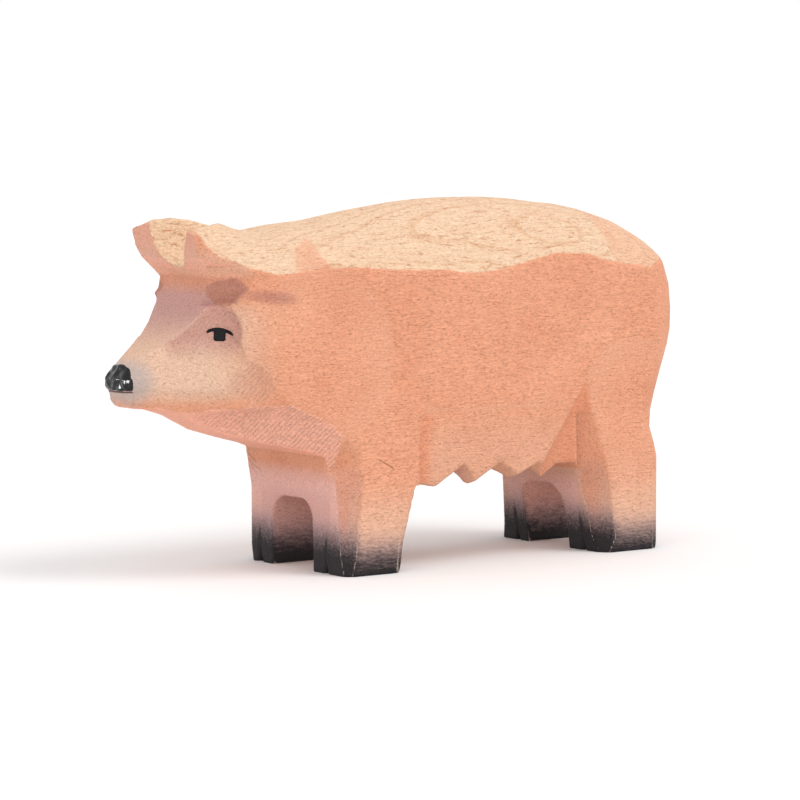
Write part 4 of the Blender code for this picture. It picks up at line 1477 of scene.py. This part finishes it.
    def sooted(self, m: Finish, grain: Grain, wood: bpy.types.Node) -> bpy.types.Node:
        """Lay sprayed black over the wood, in specks at its upper edge, and dark lines.

        Raised fibres hold the spray off. The lines are the mouth and one knife cut.

        Args:
            m: The material.
            grain: Its patterns and marks.
            wood: The colour so far.

        Returns:
            The colour.
        """
        mark = grain.mark
        speck = m.add("Math", operation=Sum.TIMES_PLUS, in_0=grain.grit, in_1=self.speck_grit,
                      in_2=mark["soot"])
        speck = m.add("Math", operation=Sum.TIMES_PLUS, in_0=grain.streak,
                      in_1=self.speck_streak, in_2=speck)
        veil = m.add("MapRange", Value=mark["soot"], **self.veil_rise.limits())
        sooty = m.add("MapRange", Value=speck, **self.speck_rise.limits())
        spray = m.add("Math", operation=Sum.TIMES, in_0=mark["spray"], in_1=self.spray_share)
        gap = m.add("Math", operation=Sum.SIZE, in_0=mark["mouth"])
        lip = m.add("MapRange", Value=gap, **self.lip_rise.limits())
        score = m.add("Math", operation=Sum.SIZE, in_0=mark["nick"])
        cut = m.add("MapRange", Value=score, **self.cut_rise.limits())
        for code, amount in ((self.veil, veil), (self.black, sooty), (self.grey, spray),
                             (self.mouth, lip), (self.cut, cut)):
            wood = m.add("MixRGB", Color1=wood, Color2=colour(code), Fac=amount)
        return wood

    def rub(self, m: Finish, grain: Grain, wood: bpy.types.Node) -> bpy.types.Node:
        """Rub the edges pale, as hands do, most of all where they were black.

        Args:
            m: The material.
            grain: Its patterns and marks.
            wood: The colour so far.

        Returns:
            The colour.
        """
        near = m.add("Math", operation=Sum.TIMES_PLUS, in_0=grain.grit, in_1=self.edge_grit,
                     in_2=grain.mark["edge"])
        rub = m.add("MapRange", Value=near, **self.edge_rise.limits())
        low = m.add("MapRange", Value=grain.mark["soot"], **self.edge_soot.limits())
        rub = m.add("Math", operation=Sum.TIMES, in_0=rub, in_1=low)
        return m.add("MixRGB", Color1=wood, Color2=colour(self.rubbed), Fac=rub)

    def strokes(self, m: Finish, grain: Grain) -> bpy.types.Node:
        """Draw the broken strokes that a rasp has left, mostly under the throat.

        Args:
            m: The material.
            grain: Its patterns and marks.

        Returns:
            Their height, from -1 to 1.
        """
        mark = grain.mark
        turns = m.add("Math", operation=Sum.TIMES, in_0=mark["stroke"],
                      in_1=2 * math.pi / self.stroke_step)
        turns = m.add("Math", operation=Sum.TIMES_PLUS, in_0=grain.cloud,
                      in_1=self.stroke_sway, in_2=turns)
        lines = m.add("Math", operation=Sum.WAVE, in_0=turns)
        broken = m.add("MapRange", Value=grain.fibre, **self.stroke_break.limits())
        for amount in (broken, mark["rasp"]):
            lines = m.add("Math", operation=Sum.TIMES, in_0=lines, in_1=amount)
        return lines

    def build(self) -> bpy.types.Material:
        """Lay the colours over each other, then raise the fibres, the grit and the strokes.

        Returns:
            The material.
        """
        m = Finish("stained_limewood")
        grain = self.grain(m)
        wood = self.sooted(m, grain, self.wood(m, grain))
        wood = self.rub(m, grain, wood)
        lines = self.strokes(m, grain)
        bright = m.add("Math", operation=Sum.TIMES_PLUS, in_0=lines, in_1=self.stroke_bright,
                       in_2=1.0)
        wood = m.add("VectorMath", operation=Sum.TIMES, in_0=wood, in_1=bright)
        fresh = m.add("MapRange", Value=lines, **self.fresh_rise.limits())
        m.join(m.add("MixRGB", Color1=wood, Color2=colour(self.fresh), Fac=fresh), "Base Color")
        height = grain.fibre
        for pattern, tall in ((lines, self.stroke_relief), (grain.grit, self.grit_relief),
                              (grain.pore, self.pore_relief)):
            height = m.add("Math", operation=Sum.TIMES_PLUS, in_0=pattern, in_1=tall, in_2=height)
        m.join(m.add("Bump", Height=height, Strength=self.relief, Distance=self.relief_metres),
               "Normal")
        m.join(m.add("MapRange", Value=grain.grit, **self.wax_rise.limits()), "Roughness")
        m.set(Specular_IOR_Level=self.gloss, IOR=self.refraction)
        return m.stuff


@dataclass(frozen=True)
class GlossBlack:
    """Thick black enamel, brushed on: deep black, wet gloss, and soft lumps of the brush."""

    name: str
    roughness: float
    lump: float
    gloss: float
    deep: str = "0a090b"
    thin: str = "161517"
    lump_size: float = 0.62
    lump_metres: float = 0.0006
    refraction: float = 1.48

    def build(self) -> bpy.types.Material:
        """Colour it nearly black, with a clear surface whose lumps break up the lights.

        Returns:
            The material.
        """
        m = Finish(self.name)
        mm = m.add("VectorMath", operation=Sum.TIMES, in_0=m.add("TexCoord").outputs["Object"],
                   in_1=(1 / MM, 1 / MM, 1 / MM))
        lump = m.add("TexNoise", Vector=mm, Scale=self.lump_size, Detail=1.5, Roughness=0.45)
        m.join(m.add("MixRGB", Color1=colour(self.deep), Color2=colour(self.thin), Fac=lump),
               "Base Color")
        m.join(m.add("Bump", Height=lump, Strength=self.lump, Distance=self.lump_metres),
               "Normal")
        m.set(Roughness=self.roughness, IOR=self.refraction, Specular_IOR_Level=self.gloss)
        return m.stuff


@dataclass(frozen=True)
class Skin:
    """The carved and stained body: one continuous skin of wood."""

    carving: Carving
    pitch: float = 0.55
    low: Point = (-66.3, -18.5, -1.1)
    high: Point = (66.3, 18.5, 73.4)
    painted: tuple[str, ...] = ("nose", "eye_left", "eye_right")

    def build(self) -> bpy.types.Object:
        """Lay the skin over the carving, and keep the marks on its points.

        Returns:
            The piece.
        """
        points, faces = skin_over(self.carving.wood, self.low, self.high, self.pitch)
        skin = mesh_from("sow_skin", points, faces)
        ways = slopes(self.carving.wood, points)
        for name, values in Marks(self.carving).on(points, ways).items():
            give(skin, name, values)
        skin.data.materials.append(StainedLimewood().build())
        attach(skin, "root")
        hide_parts(*[name for name in frame["nodes"] if name not in self.painted])
        return skin


@dataclass(frozen=True)
class NosePaint:
    """Thick paint over the snout's end, down to the mouth and back to the first corner."""

    carving: Carving
    paint_box: tuple[Point, Point] = ((-66.4, -6.0, 35.6), (-62.2, 6.0, 43.0))
    enamel: GlossBlack = GlossBlack("gloss_black_enamel", 0.15, 0.3, 0.32)
    thick: float = 0.17
    lump: float = 0.10
    lump_turn: float = 2.1
    sway_y: tuple[float, float] = (0.8, 1.3)
    sway_z: tuple[float, float] = (0.7, 1.1)
    back: float = -63.2
    back_height: float = 37.0
    back_slope: float = 0.06
    bay: float = 0.3
    bay_height: float = 39.4
    bay_reach: float = 1.6
    mouth: float = 36.5
    mouth_wave: tuple[float, float] = (0.1, 1.7)
    mouth_wear: float = 0.3
    top: float = 42.5
    top_wear: float = 2.6
    rounding: float = 0.5
    pitch: float = 0.13

    def paint(self, x: Array, y: Array, z: Array) -> Array:
        """The wood grown by the paint's uneven thickness, inside a rounded region.

        Args:
            x, y, z: Places in mm.

        Returns:
            Signed distances in mm.
        """
        (push_y, turn_y), (push_z, turn_z), turn = self.sway_y, self.sway_z, self.lump_turn
        lumps = (np.sin(y * turn + push_y * np.sin(z * turn_y))
                 * np.sin(z * turn + push_z * np.sin(y * turn_z)))
        lean = self.back + (z - self.back_height) * self.back_slope
        lean = lean - self.bay * np.exp(-((z - self.bay_height) / self.bay_reach) ** 2)
        wave, waves = self.mouth_wave
        region = worn_max(x - lean, z - self.top, self.top_wear)
        region = worn_max(region, self.mouth - z + wave * np.sin(y * waves), self.mouth_wear)
        grown = self.carving.carved(x, y, z) - self.thick - self.lump * lumps
        return worn_max(grown, region, self.rounding)

    def build(self) -> bpy.types.Object:
        """Lay a finer skin over the paint.

        Returns:
            The piece.
        """
        points, faces = skin_over(self.paint, *self.paint_box, self.pitch)
        made = mesh_from("nose_paint", points, faces)
        made.data.materials.append(self.enamel.build())
        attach(made, "root")
        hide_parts("nose")
        return made


@dataclass(frozen=True)
class EyePaint:
    """One brushed eye: an arched lid and a squarish pupil that hangs from it."""

    carving: Carving
    name: str
    side: Side
    lid: tuple[float, float, float] = (0.3, 2.6, 0.31)
    lid_top: float = 0.95
    lid_arch: float = 0.88
    lid_tilt: float = -0.28
    lid_full: float = 1.6
    lid_thin: float = 0.2
    lid_wear: float = 0.5
    pupil: tuple[float, float, float, float] = (-0.88, 1.38, -1.28, 0.7)
    corner: float = 0.45
    join_wear: float = 0.4
    crown_wear: float = 0.22
    thick: float = 0.13
    deep: float = 0.9
    deep_wear: float = 0.1
    reach: float = 4.0
    pitch: float = 0.1

    def stroke(self, a: Array, b: Array) -> Array:
        """The lid's stroke: an arc that is thinner at both ends.

        Args:
            a: Places along the lid in mm.
            b: Places above the eye's point in mm.

        Returns:
            Signed distances in mm.
        """
        middle, half, thin = self.lid
        share = (a - middle) / half
        arc = self.lid_top - self.lid_arch * share * share + self.lid_tilt * share
        steep = np.hypot(1.0, 2 * self.lid_arch * share / half)
        full = np.sqrt(np.clip(self.lid_full - share ** 2, self.lid_thin, 1.0))
        return worn_max(np.abs(b - arc) / steep - thin * full, np.abs(a - middle) - half,
                        self.lid_wear)

    def square(self, a: Array, b: Array) -> Array:
        """The pupil: a square with round corners.

        Args:
            a: Places along the lid in mm.
            b: Places above the eye's point in mm.

        Returns:
            Signed distances in mm.
        """
        left, right, low, top = self.pupil
        over = np.abs(a - (left + right) / 2) - (right - left) / 2 + self.corner
        past = np.abs(b - (low + top) / 2) - (top - low) / 2 + self.corner
        return (np.hypot(np.maximum(over, 0.0), np.maximum(past, 0.0)) - self.corner
                + np.minimum(np.maximum(over, past), 0.0))

    def paint(self, x: Array, y: Array, z: Array) -> Array:
        """Strokes as thick as a drop of paint: the lid and the pupil, crowned.

        Args:
            x, y, z: Places in mm.

        Returns:
            Signed distances in mm.
        """
        point, lid, _, up = self.carving.eye_axes()
        dx, dy, dz = x - point[0], y * self.side.value - point[1], z - point[2]
        a = dx * lid[0] + dy * lid[1] + dz * lid[2]
        b = dx * up[0] + dy * up[1] + dz * up[2]
        flat = -worn_max(-self.stroke(a, b), -self.square(a, b), self.join_wear)
        wood = self.carving.wood(x, y, z)
        crowned = worn_max(flat, wood - self.thick, self.crown_wear)
        return worn_max(crowned, -self.deep - wood, self.deep_wear)

    def build(self) -> bpy.types.Object:
        """Lay a fine skin over the strokes.

        Returns:
            The piece.
        """
        spot = self.carving.eye_axes()[0] * (1.0, self.side.value, 1.0)
        points, faces = skin_over(self.paint, tuple(spot - self.reach), tuple(spot + self.reach),
                                  self.pitch)
        made = mesh_from(self.name + "_paint", points, faces)
        enamel = GlossBlack("brushed_black_%s" % self.name, 0.5, 0.1, 0.06)
        made.data.materials.append(enamel.build())
        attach(made, "root")
        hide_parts(self.name)
        return made


def aim(made: bpy.types.Object, back: Vector) -> None:
    """Turn a camera or light to look along a direction, and link it.

    Args:
        made: The camera or light.
        back: Direction from what it looks at towards it.
    """
    made.rotation_mode = "QUATERNION"
    made.rotation_quaternion = back.to_track_quat("Z", "Y")
    bpy.context.scene.collection.objects.link(made)


@dataclass(frozen=True)
class Beam:
    """A wide distant light from a direction, soft by the degrees that it spans."""

    name: str
    way: Point
    width: float
    power: float

    def shine(self) -> None:
        """Hang the light."""
        light = bpy.data.lights.new(self.name, "SUN")
        light.angle, light.energy = math.radians(self.width), self.power
        aim(bpy.data.objects.new(self.name, light), Vector(self.way))


@dataclass(frozen=True)
class Spark:
    """A small round light, placed in metres, that only glints in the wet-looking black."""

    name: str
    place: Point
    towards: Point = (-0.065, 0.0, 0.04)
    size: float = 0.13
    power: float = 2.6

    def shine(self) -> None:
        """Hang the light, out of sight and without a share in the soft light."""
        light = bpy.data.lights.new(self.name, "AREA")
        light.shape, light.size, light.energy = "DISK", self.size, self.power
        made = bpy.data.objects.new(self.name, light)
        made.location = self.place
        made.visible_diffuse, made.visible_camera = False, False
        aim(made, Vector(self.place) - Vector(self.towards))


@dataclass(frozen=True)
class Studio:
    """The floor of matt white paper, the soft lights and the camera."""

    azimuth: float = -36.0
    elevation: float = 4.5
    lens: float = 144.0
    film: float = 36.0
    clip_metres: Span = (0.05, 20.0)
    distance: float = 622.57
    target: Point = (-7.7, -12.154, 33.0)
    floor_half: float = 4000.0
    paper: str = "e9e9e9"
    paper_rough: float = 0.95
    paper_gloss: float = 0.1
    surround: str = "ffffff"
    lights: tuple = (Beam("window_light", (0.42, -0.55, 0.85), 32.0, 1.15),
                     Beam("fill_light", (-0.75, -0.45, 0.25), 60.0, 0.65),
                     Spark("near_spark", (-0.387, -0.496, 0.14)),
                     Spark("far_spark", (-0.541, 0.356, 0.121)))

    def camera(self) -> None:
        """Stand the camera where the photograph was taken from."""
        turn, rise = math.radians(self.azimuth), math.radians(self.elevation)
        back = Vector((math.sin(turn) * math.cos(rise), -math.cos(turn) * math.cos(rise),
                       math.sin(rise)))
        lens = bpy.data.cameras.new("photo_view")
        lens.lens, lens.sensor_width = self.lens, self.film
        lens.clip_start, lens.clip_end = self.clip_metres
        made = bpy.data.objects.new("photo_view", lens)
        made.location = (Vector(self.target) + back * self.distance) * MM
        aim(made, back)
        bpy.context.scene.camera = made

    def floor(self) -> None:
        """Lay a wide floor that fades into the pale backdrop."""
        size = self.floor_half
        points = np.array(((-size, -size, 0.0), (size, -size, 0.0), (size, size, 0.0),
                           (-size, size, 0.0)))
        plane = mesh_from("studio_floor", points, np.array(((0, 1, 2, 3),)))
        paper = Finish("matt_white_paper")
        paper.set(Base_Color=colour(self.paper), Roughness=self.paper_rough,
                  Specular_IOR_Level=self.paper_gloss)
        plane.data.materials.append(paper.stuff)

    def light(self) -> None:
        """Light it by a white surround, two wide lights and two small ones for the glints."""
        world = bpy.data.worlds.new("pale_surround")
        world.use_nodes = True
        sky = world.node_tree.nodes["Background"]
        sky.inputs["Color"].default_value = colour(self.surround)
        sky.inputs["Strength"].default_value = 1.0
        bpy.context.scene.world = world
        for light in self.lights:
            light.shine()
        bpy.context.scene.view_settings.view_transform = "Standard"


def main() -> None:
    """Build each piece in turn, then the stage and the camera."""
    logging.basicConfig(level=logging.INFO, format="%(name)s: %(message)s")
    for stray in [o for o in bpy.data.objects if o.name in ("Cube", "Light", "Camera")]:
        bpy.data.objects.remove(stray)
    carving = Carving()
    for maker in (Skin(carving), NosePaint(carving), EyePaint(carving, "eye_left", Side.NEAR),
                  EyePaint(carving, "eye_right", Side.FAR)):
        piece = maker.build()
        log.info("%s: %d faces", piece.name, len(piece.data.polygons))
    studio = Studio()
    studio.floor()
    studio.light()
    studio.camera()


if __name__ == "__main__":
    main()
